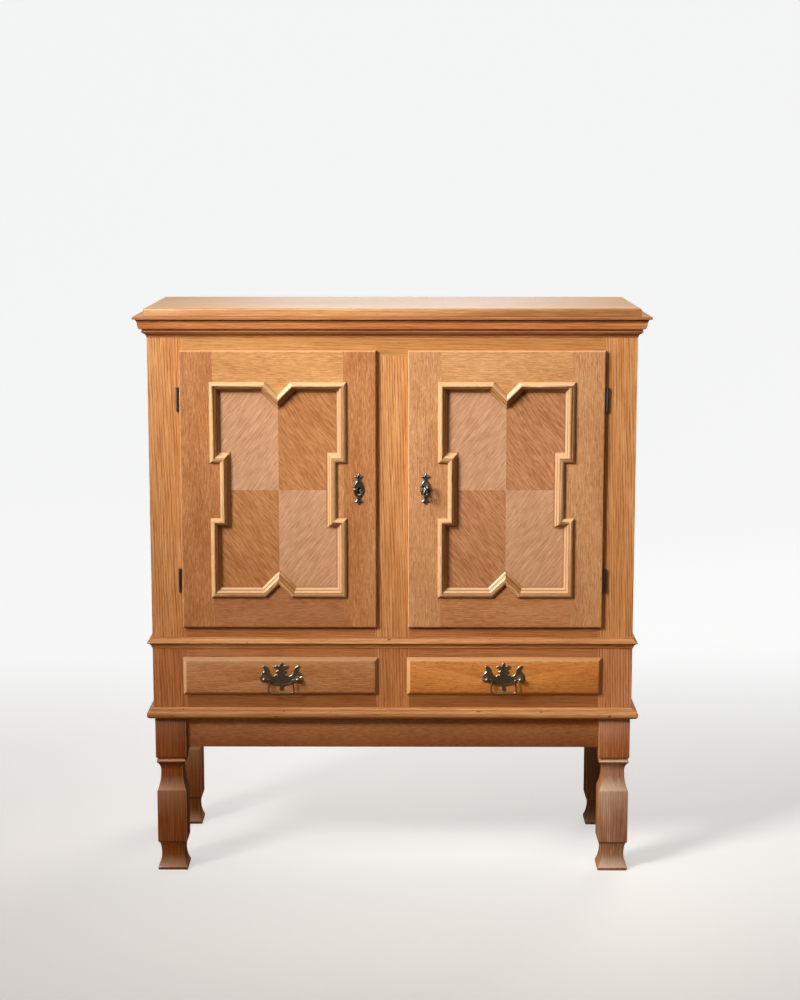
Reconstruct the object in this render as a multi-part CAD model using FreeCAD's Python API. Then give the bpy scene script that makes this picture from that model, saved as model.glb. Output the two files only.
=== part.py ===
import FreeCAD, Part
import math
import os

# Oak linen press: a framed cupboard with two doors over two drawers, on a stand with four carved legs.
# Millimetres, +Z up from the floor, the front looks towards -Y. While the pieces are modelled, y = 0 is
# the front of the face frame. The finished pieces are then moved along Y, so that the origin lies on the
# floor under the middle of the whole object.

V = FreeCAD.Vector
TOLERANCE = 1e-6

# Case and face frame
CASE_WIDTH = 1080.0
CASE_DEPTH = 409.0  # front of the face frame to the back
BOTTOM_RAIL_HEIGHT = 61.5
DRAWER_OPENING_HEIGHT = 72.5
MIDDLE_RAIL_HEIGHT = 88.5
DOOR_OPENING_HEIGHT = 598.0
TOP_RAIL_HEIGHT = 87.5
FRAME_THICKNESS = 22.0
STILE_WIDTH = 78.0
MULLION_WIDTH = 76.0
SIDE_THICKNESS = 20.0
BOARD_THICKNESS = 18.0
BACK_THICKNESS = 6.0
BACK_REBATE = 10.0  # how far the back panel laps into each side
TOP_THICKNESS = 17.0
TOP_SIDE_OVERHANG = 6.5
TOP_FRONT_OVERHANG = 11.0
TOP_ROUND = 4.0

# Shelves and their pins
SHELF_HEIGHT = 300.0  # cupboard floor to the top of a shelf
SHELF_FRONT_GAP = 26.0  # room behind the face frame for the locks
SHELF_END_GAP = 1.0
PIN_DIAMETER = 5.0
PIN_WEB = 2.0  # wood left between two pins that meet in the partition
PIN_PLAY = 0.05
PIN_SETBACK = 40.0  # pin to the front or back edge of its shelf
PIN_PITCH = 32.0  # spare holes above and below

# Mouldings around the case
CORNICE_HEIGHT = 46.5
CORNICE_PROJECTION = 28.5
WAIST_HEIGHT = 24.4
WAIST_PROJECTION = 11.0
WAIST_DROP = 1.35  # below the middle of the gap between drawers and doors
BASE_HEIGHT = 24.7
BASE_PROJECTION = 14.5

# Stand
LEG_HEIGHT = 361.0
LEG_WIDTH = 70.0
LEG_SETBACK = 2.0  # behind the case side and the face frame
LEG_BLOCK_HEIGHT = 96.5
LEG_COLLAR_HEIGHT = 12.0
LEG_COLLAR_CUT = 1.5  # into each face of the square leg, as the next cuts
LEG_NECK_HEIGHT = 66.0
LEG_NECK_CUT = 10.0
LEG_BODY_CUT = 1.5
LEG_FOOT_HEIGHT = 64.5
LEG_ANKLE_CUT = 9.0
LEG_FOOT_CUT = 1.0
LEG_QUIRK_CUT = 4.5  # groove over the collar
LEG_EDGE_ROUND = 5.0
APRON_HEIGHT = 71.5
APRON_THICKNESS = 22.0
APRON_SETBACK = 10.0  # behind the face of the legs

# Lipped doors
DOOR_LIP = 12.0  # lap over the rails
DOOR_INNER_LIP = 3.0  # lap over the middle stile
DOOR_HINGE_LIP = 8.0  # lap over the outer stiles
LIP_THICKNESS = 10.0
LIP_ROUND = 3.5
SEAT_GAP = 0.3  # back of a lip to the face frame
TONGUE_GAP = 2.0  # door or drawer to the edge of its opening
DOOR_STILE_WIDTH = 73.0
DOOR_RAIL_HEIGHT = 76.0
PANEL_THICKNESS = 7.0
PANEL_RECESS = 9.0  # face of the door to the face of its panel
PANEL_BACKING = 6.0  # wood of the door frame behind the panel
GROOVE_DEPTH = 8.0
PANEL_PLAY = 1.0
TENON_PLAY = 0.5

# Moulding planted around each door panel
MOULD_WIDTH = 23.0
MOULD_RISE = 9.0
MOULD_LAP = 7.0  # over the door frame and its fillers
MOULD_STEP = 22.0  # how far the waist of the moulding steps in
MOULD_WAIST_HEIGHT = 124.0
NOTCH_WIDTH = 57.0  # V at the middle of the top and of the bottom

# Lift-off hinges
HINGE_LENGTH = 51.0
HINGE_INSET = 82.0  # end of the door to the end of the hinge
HINGE_BARREL = 7.0
HINGE_PIN = 3.2
HINGE_RUN_GAP = 0.05
HINGE_LEAF = 1.5
HINGE_LEAF_WIDTH = 7.5
HINGE_EDGE_GAP = 1.5  # door edge to barrel
HINGE_KNUCKLE_GAP = 0.4
HINGE_HEAD = 2.5

# Locks, escutcheons and the key
LOCK_ABOVE_MIDDLE = 4.0
KEY_BACKSET = 39.0  # edge of the door to the keyhole
LOCK_CLEAR = 1.0  # lock case to the groove of the panel
LOCK_HEIGHT = 56.0
LOCK_PROUD = 4.0  # behind the back of the door
LOCK_WALL = 1.5
BOLT_HEIGHT = 14.0
BOLT_THICKNESS = 4.0
BOLT_THROW = 8.0
BOLT_BACKLASH = 1.5
BOLT_GAP = 0.3
ESCUTCHEON_HEIGHT = 72.0
ESCUTCHEON_WIDTH = 25.0
ESCUTCHEON_THICKNESS = 1.5
KEYHOLE_PLAY = 0.4  # around the stem of the key
KEYHOLE_SLOT_PLAY = 0.9  # beside the bit
KEYHOLE_END_PLAY = 2.5  # below the bit
KEY_STEM = 5.8
KEY_BIT_REACH = 8.5
KEY_BIT_WIDTH = 4.0
KEY_BIT_THICKNESS = 1.8
KEY_NECK = 8.0  # escutcheon to bow
KEY_COLLAR = 8.5
KEY_BOW_DEPTH = 24.0
KEY_BOW_WIDTH = 30.0
KEY_BOW_THICKNESS = 4.5
KEY_BOW_RIM = 4.5
KEY_TILT = 20.0  # degrees, the bow leans to the right

# Drawers
DRAWER_LIP = 7.0  # over the rails
DRAWER_INNER_LIP = 5.5  # over the middle stile
DRAWER_OUTER_LIP = 9.5  # over the outer stiles
DRAWER_BEVEL_WIDTH = 7.5
DRAWER_BEVEL_DEPTH = 8.0
DRAWER_BACK_GAP = 31.0  # room behind a drawer
DRAWER_SIDE_THICKNESS = 12.0
DRAWER_BOTTOM_THICKNESS = 5.0
DRAWER_BOTTOM_RISE = 8.0
DRAWER_BOTTOM_GROOVE = 5.0
DRAWER_TOP_GAP = 5.0
DRAWER_RUN_GAP = 0.3
RUNNER_HEIGHT = 18.0
GUIDE_WIDTH = 16.0
GUIDE_HEIGHT = 28.0
GUIDE_GAP = 0.5

# Pulls
PULL_CENTRES = 75.5
PULL_DROP = 4.25  # middle of the drawer front to the posts
PLATE_THICKNESS = 1.5
PLATE_TOP = 38.5  # over the posts
PLATE_BOTTOM = 28.5  # under the posts
POST_BALL = 12.5
POST_NECK = 7.0
POST_REACH = 10.0  # plate to the middle of the ball
POST_SHANK = 5.0
POST_SHANK_PLAY = 0.1
POST_NUT = 10.0
POST_NUT_THICKNESS = 4.0
BAIL_WIRE = 3.6
BAIL_RUN_GAP = 0.06
BAIL_INSET = 7.0  # ball to the middle of the wire beside it
BAIL_FLARE = 6.0  # each side, from its upper ends to its lower bends
BAIL_DROP = 31.0
BAIL_NECK_BEND = 3.5
BAIL_CORNER_BEND = 8.0

# Heights of the frame openings, from the floor
DRAWER_Z0 = LEG_HEIGHT + BOTTOM_RAIL_HEIGHT
DRAWER_Z1 = DRAWER_Z0 + DRAWER_OPENING_HEIGHT
DOOR_Z0 = DRAWER_Z1 + MIDDLE_RAIL_HEIGHT
DOOR_Z1 = DOOR_Z0 + DOOR_OPENING_HEIGHT
CASE_Z1 = DOOR_Z1 + TOP_RAIL_HEIGHT

# Widths of the right half; the left half is its mirror image
HALF_WIDTH = CASE_WIDTH / 2
INNER_X = HALF_WIDTH - SIDE_THICKNESS
OPENING_X0 = MULLION_WIDTH / 2
OPENING_X1 = HALF_WIDTH - STILE_WIDTH
TONGUE_X0 = OPENING_X0 + TONGUE_GAP
TONGUE_X1 = OPENING_X1 - TONGUE_GAP
BACK_Y = CASE_DEPTH - BACK_THICKNESS

# Depths of the doors and drawer fronts
LIP_Y1 = -SEAT_GAP
FACE_Y = LIP_Y1 - LIP_THICKNESS
PANEL_Y = FACE_Y + PANEL_RECESS
DOOR_BACK_Y = PANEL_Y + PANEL_THICKNESS + PANEL_BACKING
DRAWER_BACK_Y = BACK_Y - DRAWER_BACK_GAP

# Right door
DOOR_X0 = OPENING_X0 - DOOR_INNER_LIP
DOOR_X1 = OPENING_X1 + DOOR_HINGE_LIP
LEAF_Z0 = DOOR_Z0 - DOOR_LIP
LEAF_Z1 = DOOR_Z1 + DOOR_LIP
FIELD_X0 = DOOR_X0 + DOOR_STILE_WIDTH
FIELD_X1 = DOOR_X1 - DOOR_STILE_WIDTH
FIELD_Z0 = LEAF_Z0 + DOOR_RAIL_HEIGHT
FIELD_Z1 = LEAF_Z1 - DOOR_RAIL_HEIGHT
FIELD_X = (FIELD_X0 + FIELD_X1) / 2
FIELD_Z = (FIELD_Z0 + FIELD_Z1) / 2
HINGE_X = DOOR_X1 + HINGE_EDGE_GAP + HINGE_BARREL / 2
HINGE_Y = LIP_Y1 - HINGE_BARREL / 2
HINGE_STARTS = (LEAF_Z0 + HINGE_INSET, LEAF_Z1 - HINGE_INSET - HINGE_LENGTH)

# Lock of the right door
LOCK_X1 = FIELD_X0 - GROOVE_DEPTH - LOCK_CLEAR
KEY_X = DOOR_X0 + KEY_BACKSET
KEY_Z = FIELD_Z + LOCK_ABOVE_MIDDLE
LOCK_Y1 = DOOR_BACK_Y + LOCK_PROUD
BOLT_Y0 = LOCK_Y1 - LOCK_WALL - BOLT_GAP - BOLT_THICKNESS
BIT_Y0 = BOLT_Y0 - 2 * BOLT_GAP - KEY_BIT_WIDTH
LOCK_Y0 = BIT_Y0 - BOLT_GAP - LOCK_WALL
ESCUTCHEON_Y = FACE_Y - ESCUTCHEON_THICKNESS
KEY_FRONT_Y = ESCUTCHEON_Y - KEY_NECK - KEY_BOW_DEPTH
MIDDLE_Y = (CASE_DEPTH + KEY_FRONT_Y) / 2

# Pull of the right drawer
PULL_X = (OPENING_X0 + OPENING_X1) / 2
PULL_Z = (DRAWER_Z0 + DRAWER_Z1) / 2 - PULL_DROP
PLATE_Y = FACE_Y - PLATE_THICKNESS
BALL_Y = PLATE_Y - POST_REACH

NODES = {}


def add(node, *shapes):
    """Keep the solids of one node under its name."""
    NODES[node] = [solid for shape in shapes for solid in shape.Solids]


def add_both(node, *shapes):
    """Keep the right-hand solids and their mirror images as two nodes."""
    add("right_" + node, *shapes)
    add("left_" + node, *[mirrored(shape) for shape in shapes])


def mirrored(shape):
    """Mirror image on the other side of the middle of the press."""
    return shape.mirror(V(0, 0, 0), V(1, 0, 0))


def block(x, y, z):
    """Block between two x, two y and two z values."""
    return Part.makeBox(x[1] - x[0], y[1] - y[0], z[1] - z[0], V(x[0], y[0], z[0]))


def rod(diameter, start, end):
    """Round rod between two points."""
    run = end - start
    return Part.makeCylinder(diameter / 2, run.Length, start, run)


def face(steps, to_space):
    """Flat face inside an outline of points (lines) and (via, end) pairs (arcs)."""
    start = to_space(*steps[0])
    here = start
    edges = []
    for step in steps[1:]:
        if isinstance(step[0], tuple):
            end = to_space(*step[1])
            edges.append(Part.Arc(here, to_space(*step[0]), end).toShape())
        else:
            end = to_space(*step)
            edges.append(Part.LineSegment(here, end).toShape())
        here = end
    if here.distanceToPoint(start) > TOLERANCE:
        edges.append(Part.LineSegment(here, start).toShape())
    return Part.Face(Part.Wire(edges))


def symmetric(steps):
    """Close a right-hand outline, given from top to bottom, with its mirror image."""
    ends = [step[1] if isinstance(step[0], tuple) else step for step in steps]
    closed = list(steps)
    if ends[-1][0] > 0:
        closed.append((-ends[-1][0], ends[-1][1]))
    for step, before in zip(reversed(steps[1:]), reversed(ends[:-1])):
        end = (-before[0], before[1])
        if isinstance(step[0], tuple):
            closed.append(((-step[0][0], step[0][1]), end))
        else:
            closed.append(end)
    return closed


def trim(shape, point, outward):
    """Cut off what lies outward of a plane through a point."""
    size = 4 * shape.BoundBox.DiagonalLength
    waste = Part.makeBox(size, size, size, V(-size / 2, -size / 2, 0))
    waste.Placement = FreeCAD.Placement(point, FreeCAD.Rotation(V(0, 0, 1), outward))
    return shape.cut(waste)


def mitred_strips(path, up, profile, reach, closed):
    """Strips of one profile along a path, mitred where they meet.

    The profile runs to the left of the path, seen with up towards the eye, and then along up.
    """
    ends = path[1:] + path[:1] if closed else path[1:]
    runs = list(zip(path, ends))
    headings = [(end - start).normalize() for start, end in runs]
    strips = []
    for i, (start, end) in enumerate(runs):
        heading = headings[i]
        side = up.cross(heading)
        back = start - heading * reach
        section = face(profile, lambda s, t: back + side * s + up * t)
        strip = section.extrude(heading * ((end - start).Length + 2 * reach))
        before = headings[i - 1] if closed or i else heading
        after = headings[(i + 1) % len(runs)] if closed or i + 1 < len(runs) else heading
        strip = trim(strip, start, -(before + heading))
        strips.append(trim(strip, end, heading + after))
    return strips


def edges_at(shape, axis, value):
    """Edges all of whose ends have one value along one axis, X, Y or Z."""
    return [e for e in shape.Edges if all(abs(getattr(v, axis) - value) < TOLERANCE for v in e.Vertexes)]


def build_face_frame():
    """Stiles, mullion and rails of the front."""
    depth = (0, FRAME_THICKNESS)
    full = (LEG_HEIGHT, CASE_Z1)
    stile = block((OPENING_X1, HALF_WIDTH), depth, full)
    for z0 in HINGE_STARTS:
        leaf = (HINGE_X + HINGE_BARREL / 2 - frame_leaf_width(), HINGE_X + HINGE_BARREL / 2)
        stile = stile.cut(block(leaf, (0, HINGE_LEAF), (z0, z0 + HINGE_LENGTH)))
    add_both("stile", stile)

    mullion = block((-OPENING_X0, OPENING_X0), depth, (LEG_HEIGHT, DOOR_Z1))
    reach = TONGUE_GAP + BOLT_THROW + 2 * BOLT_GAP
    mortise = block(
        (TONGUE_X0 - reach, OPENING_X0),
        (BOLT_Y0 - BOLT_GAP, BOLT_Y0 + BOLT_THICKNESS + BOLT_GAP),
        (KEY_Z - BOLT_HEIGHT / 2 - BOLT_GAP, KEY_Z + BOLT_HEIGHT / 2 + BOLT_GAP),
    )
    add("mullion", mullion.cut(mortise).cut(mirrored(mortise)))

    add("top_rail", block((-OPENING_X1, OPENING_X1), depth, (DOOR_Z1, CASE_Z1)))
    middle = block((OPENING_X0, OPENING_X1), depth, (DRAWER_Z1, DOOR_Z0))
    add("middle_rails", middle, mirrored(middle))
    bottom = block((OPENING_X0, OPENING_X1), depth, (LEG_HEIGHT, DRAWER_Z0))
    add("bottom_rails", bottom, mirrored(bottom))


def build_case():
    """Sides, boards, back, top, partition and shelves behind the face frame."""
    inside = (FRAME_THICKNESS, BACK_Y)
    wall = BOARD_THICKNESS / 2
    shelf_z1 = DOOR_Z0 + SHELF_HEIGHT
    shelf_z0 = shelf_z1 - BOARD_THICKNESS
    shelf_y = (FRAME_THICKNESS + SHELF_FRONT_GAP, BACK_Y - SHELF_END_GAP)

    pins = []
    holes = []
    for y in (shelf_y[0] + PIN_SETBACK, shelf_y[1] - PIN_SETBACK):
        for x, into in ((INNER_X, 1), (wall, -1)):
            at = V(x, y, shelf_z0 - PIN_DIAMETER / 2)
            tip = V((wall - PIN_WEB / 2) * into, 0, 0)
            pins.append(rod(PIN_DIAMETER, at - tip, at + tip))
            for step in (-1, 0, 1):
                start = at + V(0, 0, step * PIN_PITCH)
                holes.append(rod(PIN_DIAMETER + 2 * PIN_PLAY, start, start + tip))
    holes = Part.makeCompound(holes)

    side = block((INNER_X, HALF_WIDTH), (FRAME_THICKNESS, CASE_DEPTH), (LEG_HEIGHT, CASE_Z1))
    rebate = block((INNER_X, INNER_X + BACK_REBATE), (BACK_Y, CASE_DEPTH), (LEG_HEIGHT, CASE_Z1))
    add_both("side", side.cut(rebate).cut(holes))
    partition = block((-wall, wall), inside, (DOOR_Z0, CASE_Z1))
    add("centre_partition", partition.cut(holes).cut(mirrored(holes)))
    shelf = block((wall + SHELF_END_GAP, INNER_X - SHELF_END_GAP), shelf_y, (shelf_z0, shelf_z1))
    add("shelves", shelf, mirrored(shelf))
    add("shelf_pins", *pins, *[mirrored(pin) for pin in pins])

    floor_z1 = LEG_HEIGHT + BOARD_THICKNESS
    deck_z0 = DOOR_Z0 - BOARD_THICKNESS
    add("bottom_board", block((-INNER_X, INNER_X), inside, (LEG_HEIGHT, floor_z1)))
    add("deck_board", block((-INNER_X, INNER_X), inside, (deck_z0, DOOR_Z0)))
    add("drawer_divider", block((-wall, wall), inside, (floor_z1, deck_z0)))
    back = INNER_X + BACK_REBATE
    add("back_panel", block((-back, back), (BACK_Y, CASE_DEPTH), (LEG_HEIGHT, CASE_Z1)))

    reach = HALF_WIDTH + TOP_SIDE_OVERHANG
    top_z1 = CASE_Z1 + TOP_THICKNESS
    slab = block((-reach, reach), (-TOP_FRONT_OVERHANG, CASE_DEPTH), (CASE_Z1, top_z1))
    rim = [edge for edge in edges_at(slab, "Z", top_z1) if edge.BoundBox.YMin < BACK_Y]
    add("top_board", slab.makeFillet(TOP_ROUND, rim))

    runner_z = (DRAWER_Z0 - RUNNER_HEIGHT, DRAWER_Z0)
    guide_z = (DRAWER_Z0, DRAWER_Z0 + GUIDE_HEIGHT)
    outer = block((TONGUE_X1 - DRAWER_SIDE_THICKNESS, INNER_X), inside, runner_z)
    guide = TONGUE_X1 + GUIDE_GAP
    outer = outer.fuse(block((guide, guide + GUIDE_WIDTH), inside, guide_z)).removeSplitter()
    inner = block((wall, TONGUE_X0 + DRAWER_SIDE_THICKNESS), inside, runner_z)
    guide = TONGUE_X0 - GUIDE_GAP
    inner = inner.fuse(block((guide - GUIDE_WIDTH, guide), inside, guide_z)).removeSplitter()
    add("drawer_runners", inner, outer, mirrored(inner), mirrored(outer))


def around_case(z):
    """Path round the two sides and the front of the case, right side first."""
    corners = ((HALF_WIDTH, CASE_DEPTH), (HALF_WIDTH, 0), (-HALF_WIDTH, 0), (-HALF_WIDTH, CASE_DEPTH))
    return [V(x, y, z) for x, y in corners]


def build_case_mouldings():
    """Cornice, waist moulding and base moulding, each a front and two returns."""
    p = CORNICE_PROJECTION
    h = CORNICE_HEIGHT
    cornice = [
        (0, 0),
        (0.04 * p, 0),
        ((0.11 * p, 0.125 * h), (0.30 * p, 0.185 * h)),
        (0.30 * p, 0.23 * h),
        (0.34 * p, 0.23 * h),
        ((0.39 * p, 0.27 * h), (0.34 * p, 0.31 * h)),
        (0.34 * p, 0.38 * h),
        (0.54 * p, 0.40 * h),
        ((0.635 * p, 0.55 * h), (0.67 * p, 0.73 * h)),
        (0.72 * p, 0.74 * h),
        ((0.75 * p, 0.82 * h), (0.84 * p, 0.86 * h)),
        (p, 0.87 * h),
        (p, 0.955 * h),
        ((0.98 * p, 0.987 * h), (0.93 * p, h)),
        (0, h),
    ]
    add("cornice", *mitred_strips(around_case(CASE_Z1 - h), V(0, 0, 1), cornice, 2 * p, False))

    p = WAIST_PROJECTION
    h = WAIST_HEIGHT
    waist_z = (DRAWER_Z1 + DRAWER_LIP + LEAF_Z0) / 2 - WAIST_DROP - h / 2
    waist = [
        (0, 0),
        (0.18 * p, 0),
        ((0.40 * p, 0.30 * h), (0.88 * p, 0.45 * h)),
        ((p, 0.52 * h), (0.88 * p, 0.60 * h)),
        ((0.42 * p, 0.72 * h), (0.20 * p, h)),
        (0, h),
    ]
    add("waist_moulding", *mitred_strips(around_case(waist_z), V(0, 0, 1), waist, 2 * p, False))

    p = BASE_PROJECTION
    h = BASE_HEIGHT
    base = [
        (0, 0),
        (0.60 * p, 0),
        ((p, 0.365 * h), (0.64 * p, 0.73 * h)),
        (0.50 * p, 0.73 * h),
        (0.50 * p, 0.79 * h),
        ((0.22 * p, 0.87 * h), (0.10 * p, h)),
        (0, h),
    ]
    add("base_moulding", *mitred_strips(around_case(LEG_HEIGHT), V(0, 0, 1), base, 2 * p, False))


def leg_outline():
    """Right-hand outline of a leg from its top to the floor, as half widths and heights."""
    block_w = LEG_WIDTH / 2
    quirk_w = block_w - LEG_QUIRK_CUT
    collar_w = block_w - LEG_COLLAR_CUT
    neck_w = block_w - LEG_NECK_CUT
    body_w = block_w - LEG_BODY_CUT
    ankle_w = block_w - LEG_ANKLE_CUT
    foot_w = block_w - LEG_FOOT_CUT
    collar_h = LEG_COLLAR_HEIGHT
    neck_h = LEG_NECK_HEIGHT
    foot_h = LEG_FOOT_HEIGHT
    r = LEG_EDGE_ROUND
    block_z = LEG_HEIGHT - LEG_BLOCK_HEIGHT
    collar_z = block_z - collar_h
    swell = body_w - neck_w
    flare = foot_w - ankle_w
    return [
        (block_w, LEG_HEIGHT),
        (block_w, block_z + r),
        ((block_w - 0.25 * r, block_z + 0.3 * r), (quirk_w, block_z)),
        (quirk_w, block_z - 0.32 * collar_h),
        ((collar_w, block_z - 0.60 * collar_h), (collar_w - 0.5 * r, collar_z)),
        ((neck_w + 0.2 * r, collar_z - 0.14 * neck_h), (neck_w, collar_z - 0.32 * neck_h)),
        ((neck_w + 0.3 * swell, collar_z - 0.72 * neck_h), (body_w, collar_z - neck_h)),
        (body_w, foot_h + r),
        ((body_w - 0.2 * r, foot_h + 0.4 * r), (body_w - 0.8 * r, foot_h)),
        ((ankle_w + 0.3 * r, 0.86 * foot_h), (ankle_w, 0.64 * foot_h)),
        ((ankle_w + 0.28 * flare, 0.34 * foot_h), (foot_w, 0.1 * foot_h)),
        (foot_w, 0.3 * r),
        (foot_w - 0.3 * r, 0),
    ]


def build_stand():
    """Four square legs, cut to one outline on both faces, and the aprons between them."""
    outline = symmetric(leg_outline())
    reach = LEG_WIDTH
    seen_from_front = face(outline, lambda s, t: V(s, -reach, t)).extrude(V(0, 2 * reach, 0))
    seen_from_side = face(outline, lambda s, t: V(-reach, s, t)).extrude(V(2 * reach, 0, 0))
    leg = seen_from_front.common(seen_from_side)
    leg_x = HALF_WIDTH - LEG_SETBACK - LEG_WIDTH / 2
    front_y = LEG_SETBACK + LEG_WIDTH / 2
    back_y = CASE_DEPTH - LEG_WIDTH / 2
    add_both("front_leg", leg.translated(V(leg_x, front_y, 0)))
    add_both("back_leg", leg.translated(V(leg_x, back_y, 0)))

    z = (LEG_HEIGHT - APRON_HEIGHT, LEG_HEIGHT)
    between_x = leg_x - LEG_WIDTH / 2
    front = LEG_SETBACK + APRON_SETBACK
    back = CASE_DEPTH - APRON_SETBACK
    outer = leg_x + LEG_WIDTH / 2 - APRON_SETBACK
    between_y = (front_y + LEG_WIDTH / 2, back_y - LEG_WIDTH / 2)
    add("front_apron", block((-between_x, between_x), (front, front + APRON_THICKNESS), z))
    add("back_apron", block((-between_x, between_x), (back - APRON_THICKNESS, back), z))
    side = block((outer - APRON_THICKNESS, outer), between_y, z)
    add("side_aprons", side, mirrored(side))


def frame_leaf_width():
    """Width of a hinge leaf on the face frame, up to the outside of the barrel."""
    return HINGE_LEAF_WIDTH + HINGE_EDGE_GAP + HINGE_BARREL


def build_hinges():
    """Lower halves with their pins on the frame, upper halves on the doors."""
    radius = HINGE_BARREL / 2
    outside = HINGE_X + radius
    frame_leaves = []
    door_leaves = []
    pins = []
    for z0 in HINGE_STARTS:
        z1 = z0 + HINGE_LENGTH
        low = (z0, (z0 + z1 - HINGE_KNUCKLE_GAP) / 2)
        high = ((z0 + z1 + HINGE_KNUCKLE_GAP) / 2, z1)
        bore = rod(HINGE_PIN + 2 * HINGE_RUN_GAP, V(HINGE_X, HINGE_Y, z0), V(HINGE_X, HINGE_Y, z1))

        leaf = block((outside - frame_leaf_width(), outside), (0, HINGE_LEAF), (z0, z1))
        web = block((HINGE_X, outside), (HINGE_Y, HINGE_LEAF), low)
        knuckle = rod(HINGE_BARREL, V(HINGE_X, HINGE_Y, low[0]), V(HINGE_X, HINGE_Y, low[1]))
        frame_leaves.append(leaf.fuse([web, knuckle]).removeSplitter().cut(bore))

        leaf_y = (LIP_Y1 - HINGE_LEAF, LIP_Y1)
        leaf = block((DOOR_X1 - HINGE_LEAF_WIDTH, DOOR_X1), leaf_y, (z0, z1))
        web = block((DOOR_X1, HINGE_X), leaf_y, high)
        knuckle = rod(HINGE_BARREL, V(HINGE_X, HINGE_Y, high[0]), V(HINGE_X, HINGE_Y, high[1]))
        door_leaves.append(leaf.fuse([web, knuckle]).removeSplitter().cut(bore))

        shank = rod(HINGE_PIN, V(HINGE_X, HINGE_Y, z0), V(HINGE_X, HINGE_Y, z1))
        head = rod(HINGE_BARREL, V(HINGE_X, HINGE_Y, z0 - HINGE_HEAD), V(HINGE_X, HINGE_Y, z0))
        foot = edges_at(head, "Z", z0 - HINGE_HEAD)
        pins.append(shank.fuse(head.makeFillet(HINGE_HEAD / 2, foot)))
    add("hinge_frame_leaves", *frame_leaves, *[mirrored(leaf) for leaf in frame_leaves])
    add("hinge_pins", *pins, *[mirrored(pin) for pin in pins])
    add_both("door_hinge_leaves", *door_leaves)


def keyhole(y):
    """Keyhole outline in the plane at y, a round hole over a slot."""
    slot = KEY_BIT_THICKNESS / 2 + KEYHOLE_SLOT_PLAY
    radius = KEY_STEM / 2 + KEYHOLE_PLAY
    meet = -math.sqrt(radius**2 - slot**2)
    end = -KEY_BIT_REACH - KEYHOLE_END_PLAY
    steps = [(slot, meet), ((0, radius), (-slot, meet)), (-slot, end), (slot, end)]
    return face(steps, lambda s, t: V(KEY_X + s, y, KEY_Z + t))


def build_doors():
    """Framed doors with a panel, fillers and the planted moulding."""
    lip = block((DOOR_X0, DOOR_X1), (FACE_Y, LIP_Y1), (LEAF_Z0, LEAF_Z1))
    lip = lip.makeFillet(LIP_ROUND, edges_at(lip, "Y", FACE_Y))
    tongue_z = (DOOR_Z0 + TONGUE_GAP, DOOR_Z1 - TONGUE_GAP)
    tongue = block((TONGUE_X0, TONGUE_X1), (LIP_Y1, DOOR_BACK_Y), tongue_z)
    leaf = lip.fuse(tongue)
    for z0 in HINGE_STARTS:
        bed = (DOOR_X1 - HINGE_LEAF_WIDTH, DOOR_X1)
        leaf = leaf.cut(block(bed, (LIP_Y1 - HINGE_LEAF, LIP_Y1), (z0, z0 + HINGE_LENGTH)))
    lock_bed = block((TONGUE_X0, LOCK_X1), (LOCK_Y0, DOOR_BACK_Y), lock_heights())
    leaf = leaf.cut(lock_bed).cut(keyhole(FACE_Y).extrude(V(0, DOOR_BACK_Y - FACE_Y, 0)))
    leaf = leaf.removeSplitter()

    depth = (FACE_Y, DOOR_BACK_Y)
    height = (LEAF_Z0, LEAF_Z1)
    groove_y = (PANEL_Y, PANEL_Y + PANEL_THICKNESS)
    groove_x = (FIELD_X0 - GROOVE_DEPTH, FIELD_X1 + GROOVE_DEPTH)
    tenon_x = (groove_x[0] + TENON_PLAY, groove_x[1] - TENON_PLAY)
    groove = block(groove_x, groove_y, (FIELD_Z0 - GROOVE_DEPTH, FIELD_Z1 + GROOVE_DEPTH))
    stiles = []
    for x in ((DOOR_X0, FIELD_X0), (FIELD_X1, DOOR_X1)):
        stiles.append(leaf.common(block(x, depth, height)).cut(groove))
    rails = []
    for z, shoulder in (((LEAF_Z0, FIELD_Z0), tongue_z[0]), ((FIELD_Z1, LEAF_Z1), tongue_z[1])):
        inner = FIELD_Z0 - GROOVE_DEPTH if z[0] == LEAF_Z0 else FIELD_Z1 + GROOVE_DEPTH
        tenon_z = (min(inner, shoulder), max(inner, shoulder))
        socket = block(groove_x, groove_y, tenon_z)
        stiles = [stile.cut(socket) for stile in stiles]
        rail = leaf.common(block((FIELD_X0, FIELD_X1), depth, z)).cut(groove)
        rails.append(rail.fuse(block(tenon_x, groove_y, tenon_z)).removeSplitter())
    add_both("door_stiles", *stiles)
    add_both("door_rails", *rails)
    panel_x = (groove_x[0] + PANEL_PLAY, groove_x[1] - PANEL_PLAY)
    panel_z = (FIELD_Z0 - GROOVE_DEPTH + PANEL_PLAY, FIELD_Z1 + GROOVE_DEPTH - PANEL_PLAY)
    add_both("door_panel", block(panel_x, groove_y, panel_z))
    build_door_moulding()


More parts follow.
